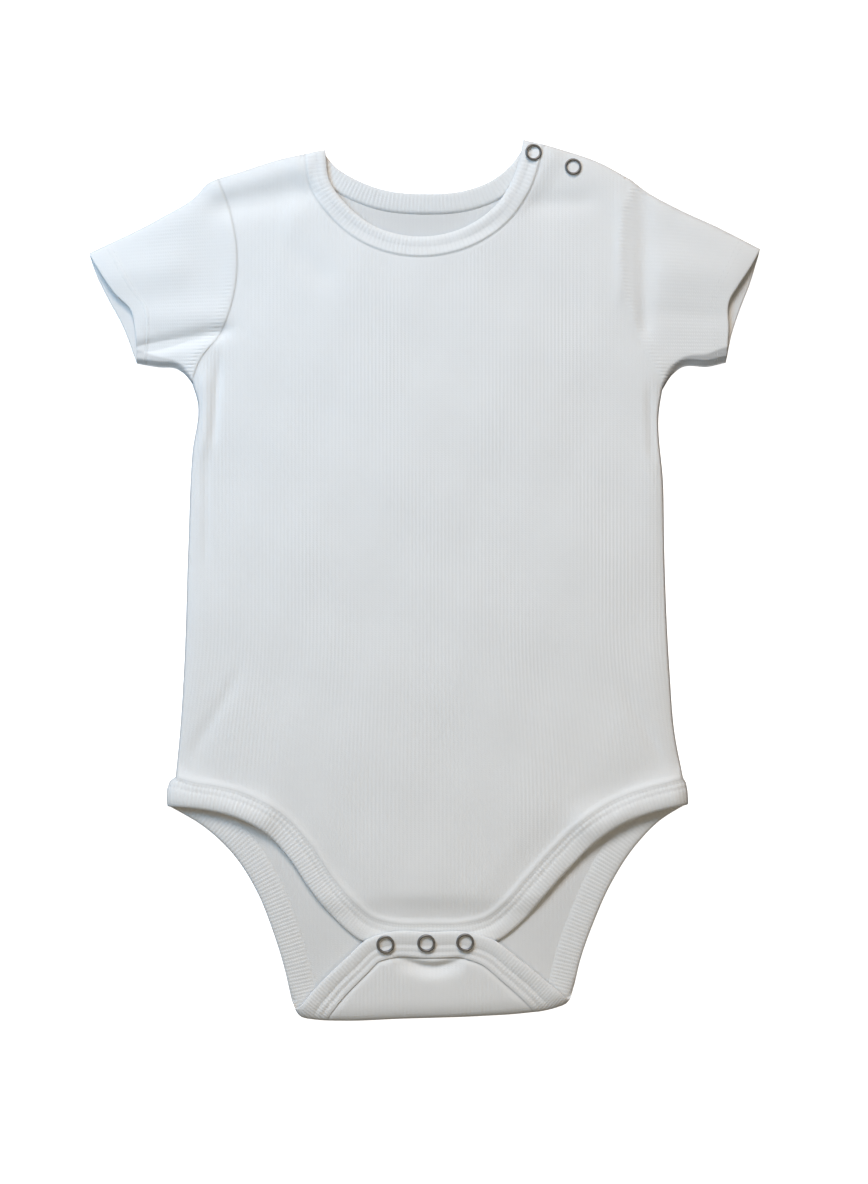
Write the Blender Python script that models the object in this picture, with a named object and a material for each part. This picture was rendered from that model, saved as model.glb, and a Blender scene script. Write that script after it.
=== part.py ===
"""Short-sleeved baby bodysuit in rib knit, laid flat on its back.

The neck points to +Y, the crotch to -Y, and the ground is the plane Z = 0. The back lies on the
ground. The front, and the upper halves of the two sleeves, lie over it. The tail of the back folds
up round its lower edge and is snapped down over the front at the crotch.

Every cut and sewn piece is one closed solid. Sizes are in millimetres until a mesh is made.
"""

import math

import bmesh
import bpy
import numpy as np
from mathutils import Vector, geometry

MM = 0.001

# Cloth
CLOTH = 1.2  # one layer of rib knit
GAP = 0.3  # between two pieces, at seams and between layers
RIB_PITCH = 1.75  # from one rib to the next, unstretched
RIB_RISE = 0.4  # from the floor of a groove to the crest of a rib
HIP_STRETCH = 0.08  # how much wider the ribs lie at the hips
BODY_AXIS = 1.5  # x of the rib that runs down the middle

# Bound edges
BINDING = 2.2  # height of a bound edge
LEG_BINDING_WIDTH = 12.5
NECK_BINDING_WIDTH = 10.0
BINDING_BELOW = 0.5  # how far the tail's binding stands below the tail's inner face
BINDING_STEP = 1.5  # between the points worked out along a bound edge
BINDING_STRIDE = 4  # every how many of them a section is made, away from the fold
BEND_THINNING = 0.42  # share of its height that a binding loses where it bends round the fold

# Lie of the upper layer over the lower one
LAY = CLOTH + GAP  # its underside, where it lies flat on the back
LOFT = 1.8  # how far its outer face stands above that of cloth lying flat
LOFT_BELOW = 0.6  # how far its underside stands off the back in the open
ROLL = 9.0  # width over which it comes down to a closed edge
ROLL_EDGE = 0.6  # height of the outer face above the inner one at a closed edge
RIDE_REACH = 8.0  # half the width of the strip that rides over a lower binding
RIDE_FADE = 10.0
CROTCH_FLAT = (-150.0, -165.0)  # y where the loft starts to fade, and where it is gone

# Fold of the tail
FOLD_RADIUS = 2.7
TAIL_RISE = 0.5  # from the fold to where the tail rests on the front
TAIL_RISE_LENGTH = 22.0
RIB_START = 0.8  # from the end of the fold to the ends of the tail's ribs
TAIL_HALF = 60.0  # half the width of the tail's widest ribbed part
BEND_STEP = 12.0  # between the points along the fold
BEND_LENGTH = math.pi * (FOLD_RADIUS - CLOTH / 2) / 2  # of cloth, in half of the fold
BEND_TAKE_UP = BEND_LENGTH - FOLD_RADIUS
NEAR_FOLD = 4.2  # how far from the middle of the fold a binding is made with closer sections

# Sleeves
CUFF_HEM = 11.0
HEM_GROOVE = 0.5
SLEEVE_RINGS = (0.0, 0.27, 0.55)  # shares of the sleeve's length, before the hem
HEM_GROOVE_HALF = 0.03  # half the groove's width, as such a share
SLEEVE_SEAM_GAP = 1.5 * GAP  # at the armhole's top, for at least the gap at its bottom
SLEEVE_PLAIN_POINTS = 13  # across each plain face
SLEEVE_PLAIN_INSET = 0.03  # of the sleeve's width, from a fold to the first of them
SLEEVE_FOLD_Z = 1.3  # height of the middle of the folded edges
SLEEVE_FAN_X = 370.0  # the point that a sleeve's ribs fan out from, beyond its cuff
SLEEVE_FAN_Y = 48.0
SLEEVE_FAN_RADIUS = 280.0  # from that point to where the ribs have their full pitch

# Ring snaps
SNAP_RADIUS = 4.35
SNAP_HEIGHT = 1.3
SNAP_SIDES = 16
# Section of the ring: share of its radius, share of its height
SNAP_SECTION = ((1.0, 0.1), (0.86, 0.0), (0.64, 0.0), (0.58, 0.45), (0.7, 1.0), (0.92, 0.9))

# Outlines. Each row is one point: x, y.
SHOULDER_LEFT = ((-49.0, 206.5), (-57.5, 204.8), (-68.0, 202.6), (-88.5, 196.2), (-99.0, 193.0))
SLEEVE_TOP_LEFT = ((-99.0, 193.0), (-104.5, 190.2), (-108.5, 185.5), (-127.5, 173.5), (-161.0, 157.0))
ARMHOLE_LEFT = (
    (-99.0, 193.0),
    (-93.0, 177.0),
    (-89.5, 156.5),
    (-91.0, 137.0),
    (-97.5, 118.5),
    (-107.5, 105.0),
    (-111.5, 94.5),
)
CUFF_UPPER_LEFT = (
    (-161.0, 157.0),
    (-155.0, 147.0),
    (-148.0, 137.0),
    (-141.0, 130.0),
    (-138.5, 118.5),
    (-138.0, 104.0),
)
CUFF_LOWER_LEFT = ((-161.0, 157.0), (-158.0, 148.0), (-151.5, 134.5), (-145.5, 123.5), (-138.0, 104.0))
SLEEVE_UNDER_LEFT = ((-111.5, 94.5), (-114.5, 98.5), (-119.0, 101.5), (-127.5, 102.2), (-138.0, 104.0))
SIDE_LEFT = (
    (-111.5, 94.5),
    (-109.0, 86.0),
    (-111.5, 61.0),
    (-113.5, 14.5),
    (-115.5, -43.0),
    (-117.5, -73.5),
    (-119.5, -94.0),
)

SHOULDER_RIGHT = ((49.0, 211.0), (56.5, 209.5), (67.0, 206.5), (83.0, 201.0), (98.0, 193.0))
SLEEVE_TOP_RIGHT = ((98.0, 193.0), (106.5, 186.5), (120.0, 179.0), (141.0, 169.3), (161.0, 159.0))
ARMHOLE_RIGHT = (
    (98.0, 193.0),
    (93.0, 178.5),
    (91.0, 161.0),
    (94.5, 136.0),
    (100.0, 119.0),
    (106.5, 107.5),
    (114.0, 91.5),
)
CUFF_UPPER_RIGHT = (
    (161.0, 159.0),
    (155.5, 150.5),
    (149.0, 141.0),
    (145.2, 134.5),
    (145.0, 120.0),
    (144.5, 104.5),
)
CUFF_LOWER_RIGHT = ((161.0, 159.0), (156.0, 142.5), (151.0, 129.5), (147.5, 119.0), (144.5, 104.5))
SLEEVE_UNDER_RIGHT = ((114.0, 91.5), (118.5, 98.5), (123.5, 102.3), (136.0, 102.5), (144.5, 104.5))
SIDE_RIGHT = (
    (114.0, 91.5),
    (112.5, 82.0),
    (114.5, 45.5),
    (115.0, 14.5),
    (117.5, -43.0),
    (120.0, -73.5),
    (124.0, -94.5),
)

NECK_SEAM_FRONT = (
    (-57.5, 204.8),
    (-55.0, 188.5),
    (-43.5, 172.0),
    (-27.0, 160.2),
    (-12.0, 155.7),
    (2.5, 155.0),
    (23.0, 160.0),
    (40.5, 172.0),
    (50.5, 186.5),
    (55.5, 201.0),
    (57.0, 209.4),
)
NECK_EDGE_BACK = (
    (-49.0, 206.0),
    (-43.0, 198.8),
    (-33.0, 192.5),
    (-20.0, 187.6),
    (0.0, 185.6),
    (20.0, 187.3),
    (33.0, 192.5),
    (41.0, 199.0),
    (48.0, 208.5),
)

LEG_EDGE_FRONT = (
    (-123.5, -108.0),
    (-108.0, -109.3),
    (-90.0, -113.5),
    (-76.0, -121.0),
    (-64.5, -133.5),
    (-54.5, -148.5),
    (-43.5, -161.5),
    (-30.5, -172.3),
    (-16.0, -176.3),
    (2.0, -176.8),
    (20.0, -176.3),
    (36.0, -171.8),
    (46.5, -163.5),
    (57.5, -151.0),
    (70.0, -137.0),
    (84.0, -123.5),
    (97.0, -115.5),
    (111.0, -110.5),
    (126.5, -107.0),
)
LEG_EDGE_BACK_LEFT = (
    (-123.2, -108.2),
    (-108.0, -116.5),
    (-92.0, -131.0),
    (-81.0, -148.0),
    (-72.5, -169.0),
    (-67.0, -187.0),
    (-64.0, -200.0),
)
LEG_EDGE_BACK_RIGHT = (
    (71.5, -195.0),
    (74.5, -182.5),
    (81.0, -164.0),
    (89.5, -145.0),
    (102.0, -126.0),
    (113.5, -114.5),
    (126.2, -107.3),
)
TAIL_EDGE = (
    (-58.5, -202.5),
    (-49.5, -192.0),
    (-36.5, -179.5),
    (-27.5, -171.5),
    (-18.0, -168.3),
    (2.0, -167.9),
    (22.0, -168.3),
    (34.0, -172.3),
    (45.5, -181.0),
    (59.0, -192.0),
    (66.5, -198.5),
)
FOLD_EDGE = (
    (-66.0, -206.5),
    (-60.0, -209.0),
    (-50.0, -210.6),
    (-37.0, -211.0),
    (-13.0, -210.1),
    (27.5, -208.7),
    (47.0, -207.4),
    (60.0, -205.5),
    (68.0, -202.8),
    (74.0, -199.5),
)

# Largest folds of the upper layer: the line of each from its start to its end, half its width and
# its height, which is negative for a trough.
# start x, start y, end x, end y, half width, height
FOLDS = (
    (-129.0, 110.5, -106.0, 114.5, 2.4, -1.6),
    (-127.0, 119.5, -104.0, 122.5, 5.0, 1.2),
    (-98.8, 97.5, -100.5, 74.0, 1.8, -1.5),
    (-105.5, 92.0, -106.5, 66.0, 3.0, 1.2),
    (-104.5, 55.0, -104.5, 15.0, 2.2, -0.5),
    (103.5, 187.0, 104.0, 121.0, 3.4, -1.5),
    (94.0, 178.0, 93.5, 140.0, 2.6, 0.8),
    (118.0, 150.0, 146.0, 146.0, 11.0, 1.8),
    (115.0, 128.0, 138.0, 126.0, 3.0, -0.7),
    (-120.0, 150.0, -148.0, 146.0, 10.0, 1.4),
    (-64.0, 158.0, -50.0, 147.0, 7.0, -0.9),
    (58.0, 180.5, 74.0, 181.5, 5.0, -1.0),
    (-14.0, -157.5, 14.0, -157.5, 5.0, -0.7),
    (-108.0, -77.0, -93.0, -52.0, 3.2, -0.7),
    (108.0, 84.0, 109.0, 66.0, 2.4, -0.7),
    (110.0, -80.0, 99.0, -58.0, 3.2, -0.6),
    (-118.0, -104.0, -78.0, -113.0, 9.0, 3.2),
    (120.0, -104.0, 78.0, -116.0, 9.0, 2.6),
)
FOLD_FADE = 8.0  # over which each end of a fold dies away

# Crease across the tail below its binding
TAIL_CREASE = ((-12.0, -181.5), (2.6, -185.2), (18.0, -181.8))
TAIL_CREASE_WIDTH = 1.7
TAIL_CREASE_DEPTH = 0.9

# Section of a binding: share of its width from the free edge, share of its height
BINDING_SECTION = ((0.0, 0.42), (0.1, 0.88), (0.38, 1.0), (0.62, 0.74), (1.0, 0.64))

# Rows of points down the panels, in y, and the spacing of the points on plain faces
FRONT_ROWS = (168.0, 118.0, 66.0, -70.0, -108.0, -146.0)
SHOULDER_REACHES = (2.5, ROLL)  # in from the shoulders, where the cloth rolls up from them
TAIL_ROWS = (8.0, 16.0, 20.0, 23.5, 27.0)  # from the end of the fold, up the tail
PLAIN_SPACING = 24.0
PLAIN_MARGIN = 4.0
SAME_POINT = 0.05  # how close two points of an outline are when they count as one
HIP_TRIM = 1.0  # how far short of the hip the seam of a binding ends on a panel

# Snaps: name, x, y
SHOULDER_SNAPS = (("snap_shoulder_neck", 52.0, 204.7), ("snap_shoulder", 71.0, 198.0))
CROTCH_SNAPS = (
    ("snap_crotch_left", -18.7, -173.8),
    ("snap_crotch_middle", 0.8, -173.2),
    ("snap_crotch_right", 19.4, -172.8),
)


# Lines in the plane


def curve(points, step=4.5):
    """A smooth line through the points, with a sample about every step."""
    p = np.array(points, float)
    run = np.concatenate([[0.0], np.cumsum(np.linalg.norm(np.diff(p, axis=0), axis=1))])
    slope = np.gradient(p, run, axis=0)
    pieces = []
    for i, length in enumerate(np.diff(run)):
        count = max(1, round(length / step))
        s = (np.arange(count) / count)[:, None]
        start = (1 + 2 * s) * (1 - s) ** 2 * p[i] + s * (1 - s) ** 2 * length * slope[i]
        end = s * s * (3 - 2 * s) * p[i + 1] - s * s * (1 - s) * length * slope[i + 1]
        pieces.append(start + end)
    pieces.append(p[-1:])
    return np.concatenate(pieces)


def along(line, shares):
    """Points at the given shares of a line's length."""
    run = np.concatenate([[0.0], np.cumsum(np.linalg.norm(np.diff(line, axis=0), axis=1))])
    where = np.asarray(shares) * run[-1]
    return np.stack([np.interp(where, run, line[:, 0]), np.interp(where, run, line[:, 1])], axis=1)


def even(line, step):
    """The line resampled at one even step."""
    length = np.linalg.norm(np.diff(line, axis=0), axis=1).sum()
    return along(line, np.linspace(0, 1, max(2, round(length / step)) + 1))


def offset(line, distance):
    """The line moved to its left by the distance."""
    tangent = np.gradient(line, axis=0)
    tangent /= np.linalg.norm(tangent, axis=1)[:, None]
    return line + distance * np.stack([-tangent[:, 1], tangent[:, 0]], axis=1)


def loop_of(*lines):
    """One closed loop from lines laid end to end, without the points that they share."""
    points = np.concatenate(lines)
    keep = np.linalg.norm(points - np.roll(points, 1, axis=0), axis=1) > SAME_POINT
    return points[keep]


def drawn_in(loop, distance):
    """An anticlockwise loop moved inwards by the distance."""
    tangent = np.roll(loop, -1, axis=0) - np.roll(loop, 1, axis=0)
    tangent /= np.linalg.norm(tangent, axis=1)[:, None]
    return loop + distance * np.stack([-tangent[:, 1], tangent[:, 0]], axis=1)


def distance_to(line, xy):
    """The distance from each point to the nearest part of a line."""
    start = line[:-1]
    run = line[1:] - start
    off = xy[:, None, :] - start[None]
    share = np.clip((off * run).sum(2) / np.maximum((run * run).sum(1), 1e-9), 0, 1)
    return np.linalg.norm(off - share[:, :, None] * run, axis=2).min(axis=1)


def soft_step(t):
    t = np.clip(t, 0, 1)
    return t * t * (3 - 2 * t)


# Heights


CLOSED_EDGES = [
    curve(line)
    for line in (
        SHOULDER_LEFT,
        SLEEVE_TOP_LEFT,
        SLEEVE_UNDER_LEFT,
        SIDE_LEFT,
        (SIDE_LEFT[-1], LEG_EDGE_FRONT[0]),
        SHOULDER_RIGHT,
        SLEEVE_TOP_RIGHT,
        SLEEVE_UNDER_RIGHT,
        SIDE_RIGHT,
        (SIDE_RIGHT[-1], LEG_EDGE_FRONT[-1]),
    )
]
LOWER_BINDINGS = [
    offset(curve(NECK_EDGE_BACK), -NECK_BINDING_WIDTH / 2),
    offset(curve(LEG_EDGE_BACK_LEFT), LEG_BINDING_WIDTH / 2),
    offset(curve(LEG_EDGE_BACK_RIGHT), LEG_BINDING_WIDTH / 2),
]


def relief(xy):
    """The folds of the upper layer, as heights."""
    total = np.zeros(len(xy))
    for x0, y0, x1, y1, width, height in FOLDS:
        start = np.array((x0, y0))
        run = np.array((x1, y1)) - start
        length = np.linalg.norm(run)
        run /= length
        on = (xy - start) @ run
        across = (xy - start) @ np.array((-run[1], run[0]))
        past = np.maximum(np.maximum(-on, on - length), 0)
        total += height * np.exp(-((across / width) ** 2) - (past / FOLD_FADE) ** 2)
    return total


def roll(reach):
    """The rise of cloth that rolls up from a closed edge, from 0 at the edge to 1."""
    t = np.clip(reach, 0, 1)
    return np.sqrt(1 - (1 - t) ** 2)


def upper_faces(xy):
    """Heights of the inner and outer faces of the upper layer, without its ribs."""
    edge = np.min([distance_to(line, xy) for line in CLOSED_EDGES], axis=0)
    lower = np.min([distance_to(line, xy) for line in LOWER_BINDINGS], axis=0)
    ride = (BINDING - CLOTH) * (1 - soft_step((lower - RIDE_REACH) / RIDE_FADE))
    flat = soft_step((xy[:, 1] - CROTCH_FLAT[1]) / (CROTCH_FLAT[0] - CROTCH_FLAT[1]))
    inner_roll = roll((edge - CLOTH) / (ROLL - CLOTH))
    folds = relief(xy)
    inner = LAY + ride + flat * inner_roll * (LOFT_BELOW + np.maximum(folds, 0))
    outer = LAY + CLOTH + ride + flat * roll(edge / ROLL) * (LOFT + folds)
    rounding = (CLOTH - ROLL_EDGE) * (1 - roll(edge / (ROLL / 3)))
    return inner, np.maximum(outer - rounding, inner + ROLL_EDGE)


def ribs(across):
    """Height of the ribs where this many millimetres across them, from their mean."""
    phase = across / RIB_PITCH
    return RIB_RISE * (np.abs(2 * (phase - np.floor(phase)) - 1) - 0.5)


def stretch(y):
    """How much wider the body's ribs lie at this height."""
    return 1 + HIP_STRETCH * soft_step((-20 - y) / 90)


def rib_place(xy):
    """The place of a point of the body across the ribs, as if they weren't stretched."""
    return (xy[:, 0] - BODY_AXIS) / stretch(xy[:, 1])


# The fold of the tail


FOLD_LINE = curve(FOLD_EDGE)


def fold_y(x):
    return np.interp(x, FOLD_LINE[:, 0], FOLD_LINE[:, 1])


def tail_face(xy):
    """Height of the tail's outer face, without its ribs."""
    past = xy[:, 1] - fold_y(xy[:, 0]) - FOLD_RADIUS
    crease = np.exp(-((distance_to(curve(TAIL_CREASE), xy) / TAIL_CREASE_WIDTH) ** 2))
    rise = TAIL_RISE * soft_step(past / TAIL_RISE_LENGTH)
    return 2 * FOLD_RADIUS + rise - TAIL_CREASE_DEPTH * crease


def unrolled(xy, tail):
    """Where a point of the lying cloth is on the back as it was cut, flat and unfolded."""
    fold = fold_y(xy[:, 0])
    y = 2 * fold - xy[:, 1] - BEND_TAKE_UP if tail else xy[:, 1] + BEND_TAKE_UP
    return np.stack([xy[:, 0], y], axis=1)


def folded(flat, depth):
    """A point of the cut back as it lies. The depth is measured in from the outer face."""
    x = flat[:, 0]
    fold = fold_y(x)
    past = flat[:, 1] - fold
    turn = np.clip(past / BEND_LENGTH, -1, 1) * math.pi / 2
    radius = FOLD_RADIUS - depth
    y = fold + FOLD_RADIUS - radius * np.cos(turn)
    z = FOLD_RADIUS - radius * np.sin(turn)
    y = y + np.maximum(np.abs(past) - BEND_LENGTH, 0)
    on_tail = past < -BEND_LENGTH
    if on_tail.any():
        lying = np.stack([x, y], axis=1)[on_tail]
        z[on_tail] = tail_face(lying) - depth[on_tail]
    return np.stack([x, y, z], axis=1)


# Meshes


def material(name, colour, roughness, metallic):
    made = bpy.data.materials.new(name)
    made.use_nodes = True
    shader = made.node_tree.nodes["Principled BSDF"]
    shader.inputs["Base Color"].default_value = (*colour, 1.0)
    shader.inputs["Roughness"].default_value = roughness
    shader.inputs["Metallic"].default_value = metallic
    return made


def finish(name, mesh, look):
    """Makes an object from a bmesh in millimetres, with its faces pointing out."""
    bmesh.ops.recalc_face_normals(mesh, faces=mesh.faces)
    bmesh.ops.scale(mesh, vec=(MM, MM, MM), verts=mesh.verts)
    data = bpy.data.meshes.new(name)
    mesh.to_mesh(data)
    mesh.free()
    data.materials.append(look)
    made = bpy.data.objects.new(name, data)
    bpy.context.scene.collection.objects.link(made)
    return made


def fill(loop, lines, points):
    """Triangles inside a loop, cut along the lines and through the points."""
    corners = [Vector(p) for p in loop]
    edges = []
    for start, end in lines:
        edges.append((len(corners), len(corners) + 1))
        corners += [Vector(start), Vector(end)]
    corners += [Vector(p) for p in points]
    made = geometry.delaunay_2d_cdt(corners, edges, [list(range(len(loop)))], 1, 1e-5)
    places = np.array([tuple(p) for p in made[0]])
    triangles = [tri for tri, source in zip(made[2], made[5]) if source]
    return places, triangles, made[3]


def rim_of(triangles):
    """The outer edge of a filled loop, as vertex numbers in order."""
    after = {}
    for tri in triangles:
        for a, b in zip(tri, (*tri[1:], tri[0])):
            after[a, b] = True
    ahead = {a: b for a, b in after if (b, a) not in after}
    start = next(iter(ahead))
    rim = [start]
    while ahead[rim[-1]] != start:
        rim.append(ahead[rim[-1]])
    return rim


def inside(loop, points):
    """Which points lie inside a loop, more than the plain margin from it."""
    x, y = points[:, :1], points[:, 1:]
    a, b = loop, np.roll(loop, -1, axis=0)
    crosses = (a[:, 1] > y) != (b[:, 1] > y)
    rise = np.where(b[:, 1] == a[:, 1], 1e-9, b[:, 1] - a[:, 1])
    left = x < a[:, 0] + (y - a[:, 1]) / rise * (b[:, 0] - a[:, 0])
    odd = (crosses & left).sum(axis=1) % 2 == 1
    return odd & (distance_to(np.concatenate([loop, loop[:1]]), points) > PLAIN_MARGIN)


def plain_points(loop):
    """An even grid of points inside a loop."""
    low, high = loop.min(axis=0), loop.max(axis=0)
    x = np.arange(low[0] + PLAIN_SPACING / 2, high[0], PLAIN_SPACING)
    y = np.arange(low[1] + PLAIN_SPACING / 2, high[1], PLAIN_SPACING)
    grid = np.array([(a, b) for a in x for b in y])
    return grid[inside(loop, grid)]


def cloth_sheet(name, loop, lines, plain, ribbed_face, plain_face, look):
    """A wall with one ribbed face, cut along the lines, and one plain face on the same rim."""
    places, triangles, _ = fill(loop, lines, [])
    rim = rim_of(triangles)
    under, under_triangles, sources = fill(places[rim], [], plain)
    mesh = bmesh.new()
    used = sorted({i for tri in triangles for i in tri})
    top = dict(zip(used, [mesh.verts.new(p) for p in ribbed_face(places[used])]))
    used = sorted({i for tri in under_triangles for i in tri})
    bottom = dict(zip(used, [mesh.verts.new(p) for p in plain_face(under[used])]))
    for tri in triangles:
        mesh.faces.new([top[i] for i in tri])
    for tri in under_triangles:
        mesh.faces.new([bottom[i] for i in reversed(tri)])
    below = {source: i for i, found in enumerate(sources) for source in found}
    for k, a in enumerate(rim):
        m = (k + 1) % len(rim)
        mesh.faces.new([top[rim[m]], top[a], bottom[below[k]], bottom[below[m]]])
    return finish(name, mesh, look)


def rib_marks(low, high):
    """The crests and grooves of the ribs between two places across them."""
    half = RIB_PITCH / 2
    return half * np.arange(math.ceil(low / half), math.floor(high / half) + 1)


def join_chains(mesh, first, second, first_keys, second_keys):
    """Triangles between two open chains of vertices, each in the order of its keys."""
    i = j = 0
    while i < len(first) - 1 or j < len(second) - 1:
        if j == len(second) - 1:
            step_first = True
        elif i == len(first) - 1:
            step_first = False
        else:
            step_first = first_keys[i + 1] <= second_keys[j + 1]
        if step_first:
            mesh.faces.new([first[i], first[i + 1], second[j]])
            i += 1
        else:
            mesh.faces.new([first[i], second[j + 1], second[j]])
            j += 1


def binding(name, edge, width, place, close, look):
    """A bound edge: a strip along its free edge, swept to the left of it."""
    edge = even(edge, BINDING_STEP)
    shares = np.array([row[0] for row in BINDING_SECTION])
    heights = np.array([row[1] for row in BINDING_SECTION]) * BINDING
    stations = np.arange(len(edge)) % BINDING_STRIDE == 0
    stations[-1] = True
    for share in shares:
        stations |= close(offset(edge, share * width))
    mesh = bmesh.new()
    sections = []
    for share, height in zip(shares, heights):
        line = offset(edge, share * width - (GAP / 2 if share == 1 else 0))[stations]
        low, high = place(line, np.full(len(line), height))
        sections.append([low, high])
    rows = []
    for i in range(stations.sum()):
        ring = [low[i] for low, _ in sections] + [high[i] for _, high in reversed(sections)]
        rows.append([mesh.verts.new(p) for p in ring])
    for a, b in zip(rows, rows[1:]):
        for j in range(len(a)):
            m = (j + 1) % len(a)
            mesh.faces.new([a[j], a[m], b[m], b[j]])
    half = len(sections)
    for row in (rows[0], rows[-1]):
        for j in range(half - 1):
            mesh.faces.new([row[j], row[j + 1], row[-2 - j], row[-1 - j]])
    return finish(name, mesh, look)


# Pieces


def back_panel(look):
    """The back, with the tail that folds up over the front."""
    lower = [
        curve(SHOULDER_LEFT[1:])[::-1],
        curve(NECK_EDGE_BACK),
        curve(SHOULDER_RIGHT),
        curve(ARMHOLE_RIGHT),
        curve(SIDE_RIGHT),
    ]
    neck = offset(lower[1], -NECK_BINDING_WIDTH)
    seam = offset(back_leg_edge(), LEG_BINDING_WIDTH)
    hip = unrolled(np.array((SIDE_RIGHT[-1], SIDE_LEFT[-1])), False)
    seam = seam[(seam[:, 0] < hip[0, 0] - HIP_TRIM) & (seam[:, 0] > hip[1, 0] + HIP_TRIM)]
    shoulder_right = lower[2][lower[2][:, 0] > neck[-1, 0] + 1]
    outline = loop_of(
        unrolled(curve(SIDE_LEFT)[::-1], False),
        unrolled(curve(ARMHOLE_LEFT)[::-1], False),
        unrolled(lower[0], False),
        unrolled(neck, False),
        unrolled(shoulder_right, False),
        unrolled(lower[3], False),
        unrolled(lower[4], False),
        seam[::-1],
    )[::-1]
    outline = drawn_in(outline, GAP / 2)
    low, high = outline.min(axis=0), outline.max(axis=0)
    bend = [share * BEND_LENGTH for share in np.linspace(-1, 1, 7)]
    across = np.arange(low[0] - 1, high[0] + BEND_STEP, BEND_STEP)
    lines = []
    for past in bend:
        ends = [(x, fold_y(x) + past) for x in across]
        lines += list(zip(ends, ends[1:]))
    widen = 1 + HIP_STRETCH
    for mark in rib_marks(-TAIL_HALF / widen, TAIL_HALF / widen):
        x = BODY_AXIS + mark * widen
        lines.append(((x, low[1] - 1), (x, fold_y(x) - BEND_LENGTH - RIB_START)))
    for past in TAIL_ROWS:
        ends = [(x, fold_y(x) - BEND_LENGTH - past) for x in across]
        lines += list(zip(ends, ends[1:]))
    plain = plain_points(outline)
    plain = plain[np.abs(plain[:, 1] - fold_y(plain[:, 0])) > 2 * NEAR_FOLD]
    for past in bend:
        row = np.array([(x, fold_y(x) + past) for x in across])
        plain = np.concatenate([plain, row[inside(outline, row)]])

    def outer_face(flat):
        on_tail = soft_step((fold_y(flat[:, 0]) - BEND_LENGTH / 2 - flat[:, 1]) / BEND_LENGTH)
        rib = ribs((flat[:, 0] - BODY_AXIS) / widen)
        return folded(flat, -on_tail * rib)

    def inner_face(flat):
        return folded(flat, np.full(len(flat), CLOTH))

    return cloth_sheet("back_panel", outline, lines, plain, outer_face, inner_face, look)


def back_leg_edge():
    """The free edge of the back's leg openings and tail, on the back as it was cut."""
    left = unrolled(np.array(LEG_EDGE_BACK_LEFT), False)
    tail = unrolled(np.array(TAIL_EDGE), True)
    right = unrolled(np.array(LEG_EDGE_BACK_RIGHT), False)
    return curve(np.concatenate([left, tail, right]), 3.0)


def near_fold(line):
    return np.abs(line[:, 1] - fold_y(line[:, 0])) < NEAR_FOLD


def near_none(line):
    return np.zeros(len(line), bool)


def front_panel(look):
    seam = offset(curve(LEG_EDGE_FRONT), LEG_BINDING_WIDTH)
    hips = (SIDE_LEFT[-1][0] + HIP_TRIM, SIDE_RIGHT[-1][0] - HIP_TRIM)
    seam = seam[(seam[:, 0] > hips[0]) & (seam[:, 0] < hips[1])]
    shoulder_right = curve(SHOULDER_RIGHT)
    shoulder_right = shoulder_right[shoulder_right[:, 0] > NECK_SEAM_FRONT[-1][0]]
    outline = loop_of(
        curve(SIDE_LEFT),
        seam,
        curve(SIDE_RIGHT)[::-1],
        curve(ARMHOLE_RIGHT)[::-1],
        shoulder_right[::-1],
        curve(NECK_SEAM_FRONT)[::-1],
        curve(SHOULDER_LEFT[1:]),
        curve(ARMHOLE_LEFT),
    )
    outline = drawn_in(outline, GAP / 2)
    low, high = outline.min(axis=0), outline.max(axis=0)
    rows = (high[1] + 1, *FRONT_ROWS, low[1] - 1)
    lines = [((low[0] - 1, y), (high[0] + 1, y)) for y in FRONT_ROWS]
    for reach in SHOULDER_REACHES:
        for shoulder, inwards in ((SHOULDER_LEFT, reach), (SHOULDER_RIGHT, -reach)):
            line = offset(curve(shoulder), inwards)
            lines += list(zip(line, line[1:]))
    for across in rib_marks(low[0], high[0]):
        rib = [(BODY_AXIS + across * stretch(y), y) for y in rows]
        lines += list(zip(rib, rib[1:]))

    def outer_face(xy):
        return np.column_stack([xy, upper_faces(xy)[1] + ribs(rib_place(xy))])

    def inner_face(xy):
        return np.column_stack([xy, upper_faces(xy)[0]])

    plain = plain_points(outline)
    return cloth_sheet("front_panel", outline, lines, plain, outer_face, inner_face, look)


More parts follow.
